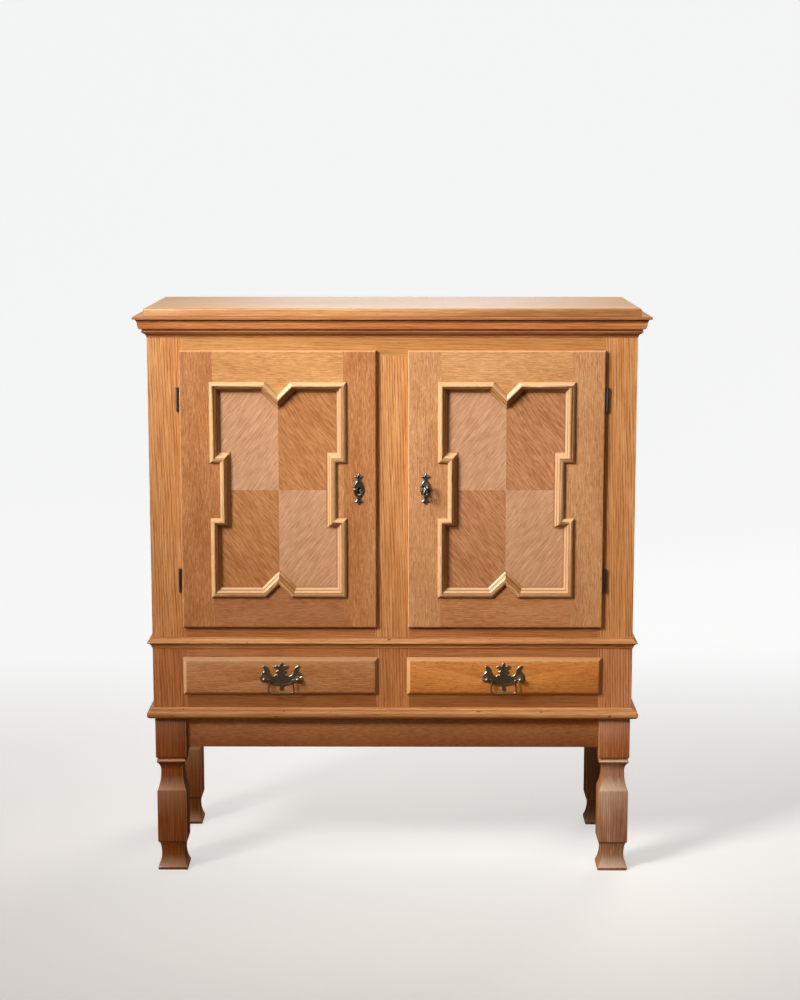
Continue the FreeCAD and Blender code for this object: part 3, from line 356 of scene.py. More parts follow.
@dataclass(frozen=True)
class OakFinish(Finish):
    """Planed oak under a satin varnish.

    Oak gives the eye a darker line for each year, short dark pores that lie in those lines, and slow
    changes of tone along a board. The varnish warms it and gives a soft sheen that the pores break.
    """

    grain: Grain
    light: str
    middle: str
    dark: str
    line: str = "8E5226"
    pore: str = "5E3517"
    line_share: float = 0.6
    pore_share: float = 0.45
    roughness: float = 0.40
    streak_gloss: tuple[float, float] = (-0.06, 0.08)
    coat: float = 0.35
    coat_roughness: float = 0.2
    ior: float = 1.5
    bump: float = 0.25
    bump_mm: float = 0.35
    contrast: float = 1.0
    tone_reach: float = 0.16
    # Tints that paint light on faces that look up and on faces that look left
    slope: str = ""
    leftward_light: str = ""
    scuff: str = ""
    bands: tuple[Band, ...] = ()
    rim: Optional[EdgeHighlight] = None
    # Grime and painted shade in corners and creases
    grime_and_shade_mm: float = 7.0
    grime_and_shade_share: float = 0.35
    nick_share: float = 0.0
    pattern: GrainPattern = GrainPattern()

    def space(self, tree: Tree) -> Socket:
        """Add the place in metres, along the grain first.

        Args:
            tree: Node tree of the material.

        Returns:
            Vector along, across and through the board.
        """
        if self.grain is Grain.STRIP:
            return add_node(tree, "Attribute", props={"attribute_name": "grain"})["Vector"]
        place = add_node(tree, "TexCoord")["Object"]
        x, y, z = add_node(tree, "SeparateXYZ", {0: place})
        if self.grain is Grain.UPRIGHT:
            return add_node(tree, "CombineXYZ", {0: z, 1: x, 2: y})[0]
        level = add_node(tree, "CombineXYZ", {0: x, 1: z, 2: y})[0]
        if self.grain is Grain.LEVEL:
            return level
        deep = add_node(tree, "CombineXYZ", {0: y, 1: z, 2: x})[0]
        if self.grain is Grain.DEEP:
            return deep
        if self.grain is Grain.BOX:
            facing = add_node(tree, "TexCoord")["Normal"]
            facing = add_node(tree, "SeparateXYZ", {0: facing})[1]
            front = add_node(tree, "Math", {0: facing}, ABSOLUTE)[0]
            front = add_node(tree, "Math", {0: front, 1: 0.5}, GREATER)[0]
            return add_node(tree, "Mix", {0: front, 4: deep, 5: level}, VECTOR)[1]
        lo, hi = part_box("right_stile")
        reach = add_node(tree, "Math", {0: x}, ABSOLUTE)[0]
        reach = add_node(tree, "Math", {0: reach, 1: y}, {"operation": "ADD"})[0]
        past = add_node(tree, "Math", {0: reach, 1: hi[0] + lo[1]}, GREATER)[0]
        return add_node(tree, "Mix", {0: past, 4: level, 5: deep}, VECTOR)[1]

    def shade(self, tree: Tree, tone: Socket, colours: Sequence[str]) -> Socket:
        """Add the wood's own colour, from its lightest to its darkest tone.

        Args:
            tree: Node tree of the material.
            tone: Tone between 0 and 1.
            colours: Light, middle and dark colour.

        Returns:
            Colour socket.
        """
        reach = self.tone_reach / self.contrast
        low = add_node(tree, "MapRange", {0: tone, 1: 0.5 - reach, 2: 0.5})[0]
        high = add_node(tree, "MapRange", {0: tone, 1: 0.5, 2: 0.5 + reach})[0]
        light, middle, dark = (linear(code) for code in colours)
        base = add_node(tree, "Mix", {0: low, 6: dark, 7: middle}, COLOUR)[2]
        return add_node(tree, "Mix", {0: high, 6: base, 7: light}, COLOUR)[2]

    def own_colour(self, tree: Tree) -> tuple[Socket, dict[str, Socket]]:
        """Add the figure and the colour of the clean wood.

        Args:
            tree: Node tree of the material.

        Returns:
            Colour socket, and the sockets of the figure.
        """
        figure = self.pattern.build(tree, self.space(tree))
        return self.shade(tree, figure["tone"], (self.light, self.middle, self.dark)), figure

    def used_colour(self, tree: Tree, wood: Socket, streak: Socket) -> Socket:
        """Add to the wood its scuffs, nicks and tints by height, and painted light and shade: a painted
        highlight along two edges, tints on faces that look up and faces that look left, and grime with
        painted shade in corners.

        Args:
            tree: Node tree of the material.
            wood: Colour of the clean wood.
            streak: Streaks of the figure.

        Returns:
            Colour socket.
        """
        if self.scuff:
            wood = cover(tree, wood, streak, SCUFFED_STREAKS, self.scuff)
        # Tints by height: some are a board's own tone, others painted shade and painted light
        for band in self.bands:
            wood = band.build(tree, wood)
        # Painted highlight along the left and top edges of a door
        if self.rim:
            wood = self.rim.build(tree, wood)
        if self.nick_share:
            knock = self.pattern.noise(tree, self.space(tree), NICK_MM, 0)
            wood = cover(tree, wood, knock, {**NICKED_SPOTS, 4: self.nick_share}, NICK)
        # Painted light: a tint on faces that look up and on faces that look left
        if self.slope:
            facing = add_node(tree, "NewGeometry")["Normal"]
            upward = add_node(tree, "SeparateXYZ", {0: facing})[2]
            wood = cover(tree, wood, upward, UPWARD_LIT_FACES, self.slope)
        if self.leftward_light:
            facing = add_node(tree, "TexCoord")["Normal"]
            leftward = add_node(tree, "SeparateXYZ", {0: facing})[0]
            wood = cover(tree, wood, leftward, LEFTWARD_LIT_FACES, self.leftward_light)
        # Grime and painted shade: darker in corners and creases that the occlusion finds
        corner = add_node(tree, "AmbientOcclusion", {"Distance": self.grime_and_shade_mm * MM}, CORNERS)["AO"]
        return cover(tree, wood, corner, {**SHADED_GRIMY_CORNERS, 3: self.grime_and_shade_share}, GRIME_AND_SHADE)

    def surface(self, tree: Tree) -> dict[str, Any]:
        """Add the nodes of the wood and its varnish.

        Args:
            tree: Empty node tree of the material.

        Returns:
            Inputs of its shader.
        """
        wood, figure = self.own_colour(tree)
        for key, code, most in (("line", self.line, self.line_share), ("pore", self.pore, self.pore_share)):
            share = add_node(tree, "Math", {0: figure[key], 1: most}, MULTIPLY)[0]
            wood = add_node(tree, "Mix", {0: share, 6: wood, 7: linear(code)}, COLOUR)[2]
        streak = figure["streak"]
        wood = self.used_colour(tree, wood, streak)
        smooth, dull = (self.roughness + change for change in self.streak_gloss)
        rough = add_node(tree, "MapRange", {0: streak, **GLOSSY_STREAKS, 3: smooth, 4: dull})[0]
        height = add_node(tree, "Math", {0: figure["pore"], 1: -1.0, 2: streak}, SCALE_ADD)[0]
        relief = {"Strength": self.bump, "Distance": self.bump_mm * MM, "Height": height}
        return {
            "Base Color": wood,
            "Roughness": rough,
            "Normal": add_node(tree, "Bump", relief)[0],
            "IOR": self.ior,
            "Coat Weight": self.coat,
            "Coat Roughness": self.coat_roughness,
        }


@dataclass(frozen=True, kw_only=True)
class VeneerFinish(OakFinish):
    """Four leaves of sliced oak laid round the centre of a panel.

    The grain of the leaves meets in diamonds, and light falls differently along and across it, so two
    leaves look paler and two deeper, with a crisp line where they meet.
    """

    centre_mm: tuple[float, float]
    deep: tuple[str, str, str]
    deep_pattern: GrainPattern
    lean: float = 52.0
    clouds_per_metre: float = 13.0

    def own_colour(self, tree: Tree) -> tuple[Socket, dict[str, Socket]]:
        """Add the figure and the colour of the four leaves.

        Args:
            tree: Node tree of the material.

        Returns:
            Colour socket, and the sockets of the figure.
        """
        place = add_node(tree, "TexCoord")["Object"]
        centre = (self.centre_mm[0] * MM, 0.0, self.centre_mm[1] * MM)
        place = add_node(tree, "VectorMath", {0: place, 1: centre}, SUBTRACT)[0]
        x, y, z = add_node(tree, "SeparateXYZ", {0: place})
        product = add_node(tree, "Math", {0: x, 1: z}, MULTIPLY)[0]
        deep = add_node(tree, "Math", {0: product, 1: 0.0}, GREATER)[0]
        folded = add_node(tree, "VectorMath", {0: place}, ABSOLUTE)[0]
        lean = math.radians(self.lean)
        run = (math.cos(lean), 0.0, -math.sin(lean))
        out = (math.sin(lean), 0.0, math.cos(lean))
        along = add_node(tree, "VectorMath", {0: folded, 1: run}, DOT)[1]
        across = add_node(tree, "VectorMath", {0: folded, 1: out}, DOT)[1]
        spots = {"Vector": place, "Scale": self.clouds_per_metre, "Detail": 1.0}
        cloud = add_node(tree, "TexNoise", spots)[0]
        figures = []
        for pattern in (self.pattern, self.deep_pattern):
            bent = add_node(tree, "Math", {0: cloud, 1: pattern.warp_mm * MM, 2: across}, SCALE_ADD)[0]
            space = add_node(tree, "CombineXYZ", {0: along, 1: bent, 2: y})[0]
            figures.append(pattern.build(tree, space))
        pale = self.shade(tree, figures[0]["tone"], (self.light, self.middle, self.dark))
        rich = self.shade(tree, figures[1]["tone"], self.deep)
        wood = add_node(tree, "Mix", {0: deep, 6: pale, 7: rich}, COLOUR)[2]
        shown = {}
        for key, value in figures[0].items():
            shown[key] = add_node(tree, "Mix", {0: deep, 2: value, 3: figures[1][key]})[0]
        return wood, shown


@dataclass(frozen=True)
class MouldingFinish(OakFinish):
    """Oak moulding run with a plane: a painted highlight on the outer bead and painted shade down its stepped
    hollow to the panel.

    Slopes that face the upper left get a painted highlight too, and the steps draw thin dark lines of painted
    shadow along the strips. They are drawn a little wider than they are, so that they show from a few metres
    away.
    """

    bead_mm: float = 9.4
    bead_fade_mm: float = 0.5
    # Colour of the painted highlight on the bead and on slopes that face the light
    bead: str = "F0CC9C"
    # Painted shade over the hollow inside the bead
    hollow_shade_tint: str = "F0E6DE"
    light_way: tuple[float, float, float] = (-0.6, 0.0, 0.8)
    # Steps, drawn as lines of painted shadow
    shadow_steps_mm: tuple[float, ...] = (10.2, 16.6, 22.6)
    shadow_line_core_mm: float = 0.2
    shadow_line_wide_mm: float = 1.3
    shadow_line_share: float = 0.6
    step: str = "5A3014"

    def own_colour(self, tree: Tree) -> tuple[Socket, dict[str, Socket]]:
        """Add the figure, the painted highlight on the bead and on slopes that face the light, the painted
        shade of the hollow, and the painted shadow lines of the steps.

        Args:
            tree: Node tree of the material.

        Returns:
            Colour socket, and the sockets of the figure.
        """
        wood, figure = super().own_colour(tree)
        across = add_node(tree, "Attribute", props={"attribute_name": "profile"})["Fac"]
        # Painted highlight on faces toward the upper left, and painted shade over the hollow
        facing = add_node(tree, "TexCoord")["Normal"]
        toward = add_node(tree, "VectorMath", {0: facing, 1: self.light_way}, DOT)[1]
        outer = cover(tree, wood, toward, LIT_BEADS, self.bead)
        inner = add_node(tree, "Mix", {0: 1.0, 6: wood, 7: linear(self.hollow_shade_tint)}, TINT)[2]
        inner = cover(tree, inner, toward, LIT_STEPS, self.bead)
        bead = {0: across, 1: self.bead_mm * MM, 2: (self.bead_mm + self.bead_fade_mm) * MM}
        edge = add_node(tree, "MapRange", bead)[0]
        wood = add_node(tree, "Mix", {0: edge, 6: outer, 7: inner}, COLOUR)[2]
        # Thin lines of painted shadow along the steps
        near = {1: self.shadow_line_core_mm * MM, 2: self.shadow_line_wide_mm * MM, 3: self.shadow_line_share, 4: 0.0}
        for place in self.shadow_steps_mm:
            off = add_node(tree, "Math", {0: across, 1: place * MM}, SUBTRACT)[0]
            off = add_node(tree, "Math", {0: off}, ABSOLUTE)[0]
            wood = cover(tree, wood, off, near, self.step)
        return wood, figure


@dataclass(frozen=True)
class MetalFinish(Finish):
    """Cast or drawn metal with a handled surface.

    Old metal gives the eye a dark skin in its hollows, a brighter rubbed tone where hands and cloths
    reach, and small clouds in its polish. Its ridges are paler, partly rubbed bare and partly a painted
    highlight.
    """

    rubbed_and_highlight: str
    skin: str
    roughness: float
    skin_share: float
    skin_dulls: float = 0.22
    cloud_mm: float = 6.0
    hollow_mm: float = 4.0
    pit_mm: float = 1.1
    pit_bump: float = 0.12
    pit_deep_mm: float = 0.2
    edge: str = "D9CFBE"
    ridge_wear_and_gleam_share: float = 0.8

    def surface(self, tree: Tree) -> dict[str, Any]:
        """Add the nodes of the metal and its skin.

        Args:
            tree: Empty node tree of the material.

        Returns:
            Inputs of its shader.
        """
        place = add_node(tree, "TexCoord")["Object"]
        clouds = {"Vector": place, "Scale": 1000 / self.cloud_mm, "Detail": 4.0}
        cloud = add_node(tree, "TexNoise", clouds)[0]
        pits = {"Vector": place, "Scale": 1000 / self.pit_mm, "Detail": 2.0}
        pit = add_node(tree, "TexNoise", pits)[0]
        corner = add_node(tree, "AmbientOcclusion", {"Distance": self.hollow_mm * MM}, CORNERS)["AO"]
        hollow = add_node(tree, "MapRange", {0: corner, **METAL_HOLLOWS})[0]
        patch = add_node(tree, "MapRange", {0: cloud, **METAL_PATCHES, 4: self.skin_share})[0]
        skin = add_node(tree, "Math", {0: hollow, 1: patch}, {"operation": "MAXIMUM"})[0]
        rubbed_and_highlight, dark = linear(self.rubbed_and_highlight), linear(self.skin)
        colour = add_node(tree, "Mix", {0: skin, 6: rubbed_and_highlight, 7: dark}, COLOUR)[2]
        # Paler ridges: partly rubbed bare, partly a painted highlight
        ridge = add_node(tree, "NewGeometry")["Pointiness"]
        worn_and_gleaming = {**METAL_WORN_GLEAMING_RIDGES, 4: self.ridge_wear_and_gleam_share}
        dulled = {0: skin, 3: self.roughness, 4: self.roughness + self.skin_dulls}
        relief = {"Strength": self.pit_bump, "Distance": self.pit_deep_mm * MM, "Height": pit}
        return {
            "Base Color": cover(tree, colour, ridge, worn_and_gleaming, self.edge),
            "Metallic": 1.0,
            "Roughness": add_node(tree, "MapRange", dulled)[0],
            "Normal": add_node(tree, "Bump", relief)[0],
        }


@dataclass(frozen=True)
class StudioPaint(Finish):
    """Matt paint of floor and wall: pale to the eye, a darker floor to the light it returns.

    Varnish and metal mirror a bright window high on the wall, warmer toward its ends.
    """

    pale: str = "DEDBD6"
    wall: str = "8F8E8C"
    white: str = "FAFBFC"
    returned: str = "5E3E26"
    mirrored: str = "FFFAF4"
    mirrored_end: str = "FFD9B4"
    mirror_glow: float = 1.65
    end_glow: float = 1.15
    floor_glow: float = 0.46
    wall_glow: float = 0.93
    roughness: float = 0.8
    sweep: tuple[float, float] = (-0.6, 2.2)
    window_half: tuple[float, float] = (0.34, 1.5)
    window_sill: tuple[float, float] = (1.13, 1.88)

    def surface(self, tree: Tree) -> dict[str, Any]:
        """Add the nodes of the paint.

        Args:
            tree: Empty node tree of the material.

        Returns:
            Inputs of its shader.
        """
        path = add_node(tree, "LightPath")
        seen = path["Is Camera Ray"]
        place = add_node(tree, "TexCoord")["Object"]
        side, depth, height = add_node(tree, "SeparateXYZ", {0: place})
        far = add_node(tree, "Math", {0: depth, 1: height}, {"operation": "ADD"})[0]
        rise = add_node(tree, "MapRange", {0: far, 1: self.sweep[0], 2: self.sweep[1]}, SOFT)[0]
        paint = add_node(tree, "Mix", {0: rise, 6: linear(self.pale), 7: linear(self.wall)}, COLOUR)[2]
        pale = add_node(tree, "Mix", {0: rise, 2: self.floor_glow, 3: self.wall_glow})[0]
        pale = add_node(tree, "Math", {0: pale, 1: seen}, MULTIPLY)[0]
        aside = add_node(tree, "Math", {0: side}, ABSOLUTE)[0]
        near, end = self.window_half
        away = add_node(tree, "MapRange", {0: aside, 1: near, 2: end}, SOFT)[0]
        warmth = {0: away, 6: linear(self.mirrored), 7: linear(self.mirrored_end)}
        warm = add_node(tree, "Mix", warmth, COLOUR)[2]
        window = add_node(tree, "Mix", {0: away, 2: self.mirror_glow, 3: self.end_glow})[0]
        sill, full = self.window_sill
        above = add_node(tree, "MapRange", {0: height, 1: sill, 2: full}, SOFT)[0]
        window = add_node(tree, "Math", {0: above, 1: window}, MULTIPLY)[0]
        glow = {0: window, 1: path["Is Glossy Ray"], 2: pale}
        shown = {0: seen, 6: linear(self.returned), 7: paint}
        shine = {0: seen, 6: warm, 7: linear(self.white)}
        return {
            "Base Color": add_node(tree, "Mix", shown, COLOUR)[2],
            "Roughness": self.roughness,
            "Emission Color": add_node(tree, "Mix", shine, COLOUR)[2],
            "Emission Strength": add_node(tree, "Math", glow, SCALE_ADD)[0],
        }


def wear(piece: Piece, *finishes: Finish) -> None:
    """Give a piece its finishes, the first one all over.

    Args:
        piece: The piece.
        finishes: Its finishes in order.
    """
    piece.data.materials.clear()
    for finish in finishes:
        piece.data.materials.append(finish.material())


def dress(finish: Finish, *nodes: str) -> None:
    """Give solids that stay in view their finish.

    Args:
        finish: The finish.
        nodes: Names of the solids.
    """
    for node in nodes:
        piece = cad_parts[node]
        for slot in piece.material_slots:
            slot.material = finish.material()
        if not piece.material_slots:
            piece.data.materials.append(finish.material())
        log.info("solid %s: %s", node, finish.name)


def solid_copy(node: str, name: str) -> Piece:
    """Copy a solid with its triangles joined into whole faces.

    Args:
        node: Name of the solid.
        name: Name of the copy.

    Returns:
        The copy, selected and active.
    """
    piece = bpy.data.objects.new(name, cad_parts[node].data.copy())
    bpy.context.scene.collection.objects.link(piece)
    bpy.ops.object.select_all(action="DESELECT")
    piece.select_set(True)
    bpy.context.view_layer.objects.active = piece
    if piece.data.has_custom_normals:
        bpy.ops.mesh.customdata_custom_splitnormals_clear()
    bpy.ops.object.mode_set(mode="EDIT")
    bpy.ops.mesh.select_all(action="SELECT")
    bpy.ops.mesh.remove_doubles(threshold=WELD_MM * MM)
    bpy.ops.mesh.dissolve_limited(angle_limit=math.radians(FLAT_DEGREES))
    bpy.ops.object.mode_set(mode="OBJECT")
    return piece


def stand_for(piece: Piece, node: str, body: str) -> Piece:
    """Let a finished piece stand for a solid.

    Args:
        piece: The piece.
        node: Name of the solid.
        body: Body that it moves with.

    Returns:
        The piece.
    """
    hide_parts(node)
    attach(piece, body)
    finishes = ", ".join(slot.material.name for slot in piece.material_slots)
    log.info("piece %s rides on %s: %s", piece.name, body, finishes)
    return piece


def eased_copy(node: str, body: str, finish: Finish, width_mm: float, worn: Optional[Finish] = None) -> Piece:
    """Copy a solid, ease its sharp edges, and let the copy stand for it.

    Args:
        node: Name of the solid.
        body: Body that it moves with.
        finish: Finish of the copy.
        width_mm: Width of the eased edges.
        worn: Finish of the eased edges, where hands and cloths have rubbed them.

    Returns:
        The new piece.
    """
    piece = solid_copy(node, node + "_eased")
    wear(piece, finish, worn or finish)
    if width_mm:
        edge = piece.modifiers.new("eased_edges", "BEVEL")
        edge.width = width_mm * MM
        edge.segments = 2
        edge.limit_method = "ANGLE"
        edge.angle_limit = math.radians(EASED_DEGREES)
        edge.use_clamp_overlap = False
        edge.material = 1
        bpy.ops.object.modifier_apply(modifier=edge.name)
    bpy.ops.object.shade_smooth_by_angle(angle=math.radians(CRISP_DEGREES))
    return stand_for(piece, node, body)


def renew_skin(piece: Piece, grain_mm: float) -> None:
    """Build the skin of a selected piece anew from small voxels.

    Args:
        piece: The piece.
        grain_mm: Size of the voxels.
    """
    skin = piece.modifiers.new("casting", "REMESH")
    skin.mode = "VOXEL"
    skin.voxel_size = grain_mm * MM
    bpy.ops.object.modifier_apply(modifier=skin.name)


def melt_edges(piece: Piece, rounds: int) -> None:
    """Melt the edges of a selected piece.

    Args:
        piece: The piece.
        rounds: Rounds of smoothing.
    """
    melt = piece.modifiers.new("melted_edges", "SMOOTH")
    melt.factor = MELT
    melt.iterations = rounds
    bpy.ops.object.modifier_apply(modifier=melt.name)
    bpy.ops.object.shade_smooth()


@dataclass(frozen=True)
class Casting:
    """Relief of a thin cast plate: a rounded slope up from its outline to a raised, dished face."""

    rise_mm: float
    slope_mm: float
    dish_mm: float
    grain_mm: float
    rounds: int
    level_mm: float = 0.05
    face_grains: float = 0.6

    def outline(self, piece: Piece, front: float) -> KDTree:
        """Find close points along the edges round a plate's front face.

        Args:
            piece: The flat plate.
            front: Y of its front face.

        Returns:
            Tree of the points, at y = 0.
        """
        mesh = piece.data
        points: list[Vector] = []
        for edge in mesh.edges:
            a, b = (mesh.vertices[i].co for i in edge.vertices)
            if max(abs(a.y - front), abs(b.y - front)) < self.level_mm * MM:
                steps = max(1, math.ceil((b - a).length / (self.grain_mm * MM)))
                points += [a.lerp(b, i / steps) for i in range(steps + 1)]
        tree = KDTree(len(points))
        for number, point in enumerate(points):
            tree.insert((point.x, 0.0, point.z), number)
        tree.balance()
        return tree

    def copy(self, node: str, body: str, finish: Finish) -> Piece:
        """Copy a flat plate, raise its relief and melt its edges, and let the copy stand for it.

        Args:
            node: Name of the plate's solid.
            body: Body that it moves with.
            finish: Finish of the copy.

        Returns:
            The new piece.
        """
        piece = solid_copy(node, node + "_cast")
        wear(piece, finish)
        front = min(v.co.y for v in piece.data.vertices)
        rim = self.outline(piece, front)
        renew_skin(piece, self.grain_mm)
        for vertex in piece.data.vertices:
            if vertex.co.y < front + self.face_grains * self.grain_mm * MM:
                inside = rim.find((vertex.co.x, 0.0, vertex.co.z))[2] / MM
                slope = math.sin(math.pi / 2 * min(1.0, inside / self.slope_mm))
                dish = self.dish_mm * min(1.0, max(0.0, inside - self.slope_mm) / self.slope_mm)
                vertex.co.y -= (self.rise_mm * slope - dish) * MM
        melt_edges(piece, self.rounds)
        return stand_for(piece, node, body)


def lay_grain(piece: Piece, loop: Sequence[Vector]) -> None:
    """Map a piece made of strips: its grain along each strip, and the distance from the strip's outer edge.

    Args:
        piece: The strips.
        loop: Corners of the line that their outer edges follow, at y = 0.
    """
    mesh = piece.data
    mesh.attributes.new("grain", "FLOAT_VECTOR", "CORNER")
    mesh.attributes.new("profile", "FLOAT", "CORNER")
    places, across = mesh.attributes["grain"], mesh.attributes["profile"]
    flat = Vector((1.0, 0.0, 1.0))
    rightward = Vector((1.0, 0.0, 0.01))
    parallel, upright_shift = 0.99, 0.2
    for face in mesh.polygons:
        points = [mesh.vertices[i].co for i in face.vertices]
        runs = [b - a for a, b in zip(points, points[1:] + points[:1])]
        way = max(runs, key=lambda run: run.length).normalized()
        if way.dot(rightward) < 0:
            way = -way
        out = way.cross(face.normal)
        edges = []
        for a, b in zip(loop, [*loop[1:], loop[0]]):
            run = (b - a).normalized()
            start = face.center * flat - a
            if abs(run.dot(way)) > parallel and 0.0 < start.dot(run) < (b - a).length:
                edges.append(((start - run * start.dot(run)).length, a, run))
        for corner in face.loop_indices:
            spot = mesh.vertices[mesh.loops[corner].vertex_index].co
            through = spot.y + upright_shift * abs(way.z)
            places.data[corner].vector = (spot.dot(way), spot.dot(out), through)
            if edges:
                _, a, run = min(edges, key=lambda edge: edge[0])
                start = spot * flat - a
                across.data[corner].value = (start - run * start.dot(run)).length


# Quarter-sawn oak of doors, drawers and aprons: short specks and hardly a year line
SPECKLED = GrainPattern(
    line_mm=4.6, wander_mm=4.0, tone_mm=(240.0, 60.0), streak_mm=(17.0, 2.4), pore_mm=(8.0, 1.8),
    streak_share=0.66,
)
# Straight-grained veneer of the two paler leaves
SLICED = GrainPattern(
    line_mm=4.0, tone_mm=(220.0, 90.0), streak_mm=(30.0, 2.6), pore_mm=(16.0, 1.9), pore_from=0.55,
    streak_share=0.8, warp_mm=5.0,
)
# Wavy veneer of the two deeper leaves
FLAMED = GrainPattern(
    line_mm=6.2, dash_mm=(24.0, 4.0), tone_mm=(180.0, 80.0), streak_mm=(24.0, 2.9), pore_mm=(14.0, 2.2),
    streak_share=0.76, warp_mm=18.0,
)
# Flat-sawn oak of frame and legs: long year lines that wander into crowns
CROWNED = GrainPattern(
    line_mm=6.0, wander_mm=6.0, wander_spot_mm=(330.0, 38.0), dash_mm=(120.0, 7.0),
    tone_mm=(300.0, 40.0), streak_mm=(80.0, 2.7), pore_mm=(22.0, 1.9), streak_share=0.6, slant=0.03,
)

# Face frame and sides: warm golden oak with strong lines. Painted shade makes them darker and redder low down
# round the drawers, and darker on the middle rails by the waist moulding and on the bottom rails under the
# drawers
FRAME_UPRIGHT = OakFinish(
    "oak_frame_upright", Grain.UPRIGHT, "E1A76D", "D08F55", "B7763F", "98501F", line_share=0.9,
    contrast=0.95, bands=(Band(361.0, 523.0, "EEDFDC"),), pattern=CROWNED,
)
FRAME_RIGHT = replace(FRAME_UPRIGHT, name="oak_right_frame_upright", bands=(Band(361.0, 523.0, "F8EEFC"),))
FRAME_LEVEL = OakFinish(
    "oak_frame_level", Grain.LEVEL, "CF985D", "BD8247", "A46A36", "8C4F22", line_share=0.4, contrast=0.75,
    bands=(Band(361.0, 450.0, "DAC4BC"), Band(490.0, 590.0, "F3DFE3")), pattern=CROWNED,
)
# Aprons: calm oak. The front and back ones are darker low down and paler toward the top, a painted light that
# lifts the shade under the base moulding
FRAME_DEEP = OakFinish("oak_frame_deep", Grain.DEEP, "C88C54", "B4743F", "98592D", line_share=0.35)
APRON = OakFinish(
    "oak_apron", Grain.LEVEL, "D0905D", "BA7847", "9A5C33", line_share=0.2, contrast=0.65, grime_and_shade_share=0.2,
    bands=(Band(250.0, 322.0, "D8CFCB", 26.0),), pattern=SPECKLED,
)
# Top and case mouldings: a shinier top, a reddish cornice, and small dark nicks on the lower mouldings
TOP = OakFinish("oak_top", Grain.LEVEL, "D0A270", "BE8956", "A16D3C", line_share=0.3, roughness=0.34)
CORNICE = OakFinish(
    "oak_cornice", Grain.AROUND, "E49A5D", "D08047", "B26634", line_share=0.35,
    grime_and_shade_share=0.0, bands=(Band(1259.0, 1270.0, "D8DEDC"), Band(1223.0, 1240.0, "CFC6C0", 2.0)),
)
CASE_MOULDING = OakFinish(
    "oak_case_moulding", Grain.AROUND, "DDA368", "C98950", "AB6D38", line_share=0.35, nick_share=0.85,
)
# Legs: the left ones dark, the right front one bleached and scuffed, with a painted highlight where the
# carving faces up and painted light on the left faces of the right front one
LEG = {
    Side.LEFT: OakFinish(
        "oak_left_leg", Grain.UPRIGHT, "AB6730", "975222", "804217", "673510", contrast=1.1,
        slope="CE9B76", bands=(Band(266.0, 362.0, "FAF2EE", 0.8),), pattern=CROWNED,
    ),
    Side.RIGHT: OakFinish(
        "oak_right_leg", Grain.UPRIGHT, "C69477", "B3805F", "996746", "824F32", line_share=0.45,
        slope="EFD0B8", leftward_light="D58F4E", scuff="EAD2C0", bands=(Band(266.0, 362.0, "FCD2A4", 0.8),),
        pattern=CROWNED,
    ),
}
# The right back leg is painted darker, as painted shade under the case, with a weaker painted highlight where
# it faces up
BACK_LEG = {
    Side.LEFT: LEG[Side.LEFT],
    Side.RIGHT: replace(
        LEG[Side.RIGHT], name="oak_right_back_leg", light="A0744F", middle="90623D", dark="7A4E2B",
        line="633A1B", slope="A87F56", leftward_light="", scuff="",
    ),
}
# Doors: stiles and rails of different boards, with a painted highlight along the left and top edges
EDGE_HIGHLIGHT = {Side.LEFT: EdgeHighlight(-470.0, 1193.5), Side.RIGHT: EdgeHighlight(35.0, 1193.5)}
DOOR_UPRIGHT = {
    side: OakFinish(
        f"oak_{side.node('door_upright')}", Grain.UPRIGHT, *tones,
        line_share=0.2, contrast=0.85, rim=EDGE_HIGHLIGHT[side], pattern=SPECKLED,
    )
    for side, *tones in (
        (Side.LEFT, "CF9461", "B97946", "9C5D33"),
        (Side.RIGHT, "D8A471", "C68C5B", "A96F42"),
    )
}
INNER_FILLER = {
    Side.LEFT: replace(
        DOOR_UPRIGHT[Side.LEFT], name="oak_left_door_filler", light="E2AC71", middle="CA8E52", dark="AA6D3C"
    ),
    Side.RIGHT: DOOR_UPRIGHT[Side.RIGHT],
}
# Door rails: the bottom rail is painted darker, as painted shade low on the door
DOOR_LEVEL = {
    side: OakFinish(
        f"oak_{side.node('door_level')}", Grain.LEVEL, *tones, line_share=0.2, pore_share=0.3,
        contrast=0.8, bands=(Band(560.0, 720.0, low),), rim=EDGE_HIGHLIGHT[side], pattern=SPECKLED,
    )
    for side, low, *tones in (
        (Side.LEFT, "D9C5CC", "DFA96E", "CC9358", "AF7640"),
        (Side.RIGHT, "EBDDD7", "DDA873", "CA925B", "AE7543"),
    )
}
# Moulding on the doors: a painted highlight on its bead, round a hollow with painted shade and painted shadow
# lines at its steps
DOOR_MOULDING = MouldingFinish(
    "oak_door_moulding", Grain.STRIP, "DDA76F", "CC925A", "B07543",
    line_share=0.2, grime_and_shade_mm=4.0, grime_and_shade_share=0.6, pattern=SPECKLED,
)
# Drawer fronts: the left one greyer, the right one orange, both with painted light on the top and left
# slopes, which face the light
DRAWER_FACE = {
    Side.LEFT: OakFinish(
        "oak_left_drawer", Grain.LEVEL, "CD905E", "BA7A48", "9D6334", line_share=0.15, contrast=0.75,
        slope="BE9162", leftward_light="E0B286", pattern=SPECKLED,
    ),
    Side.RIGHT: OakFinish(
        "oak_right_drawer", Grain.LEVEL, "E89D4E", "D68840", "B87031", line_share=0.15, contrast=0.7,
        slope="C79259", leftward_light="E6B070", pattern=SPECKLED,
    ),
}
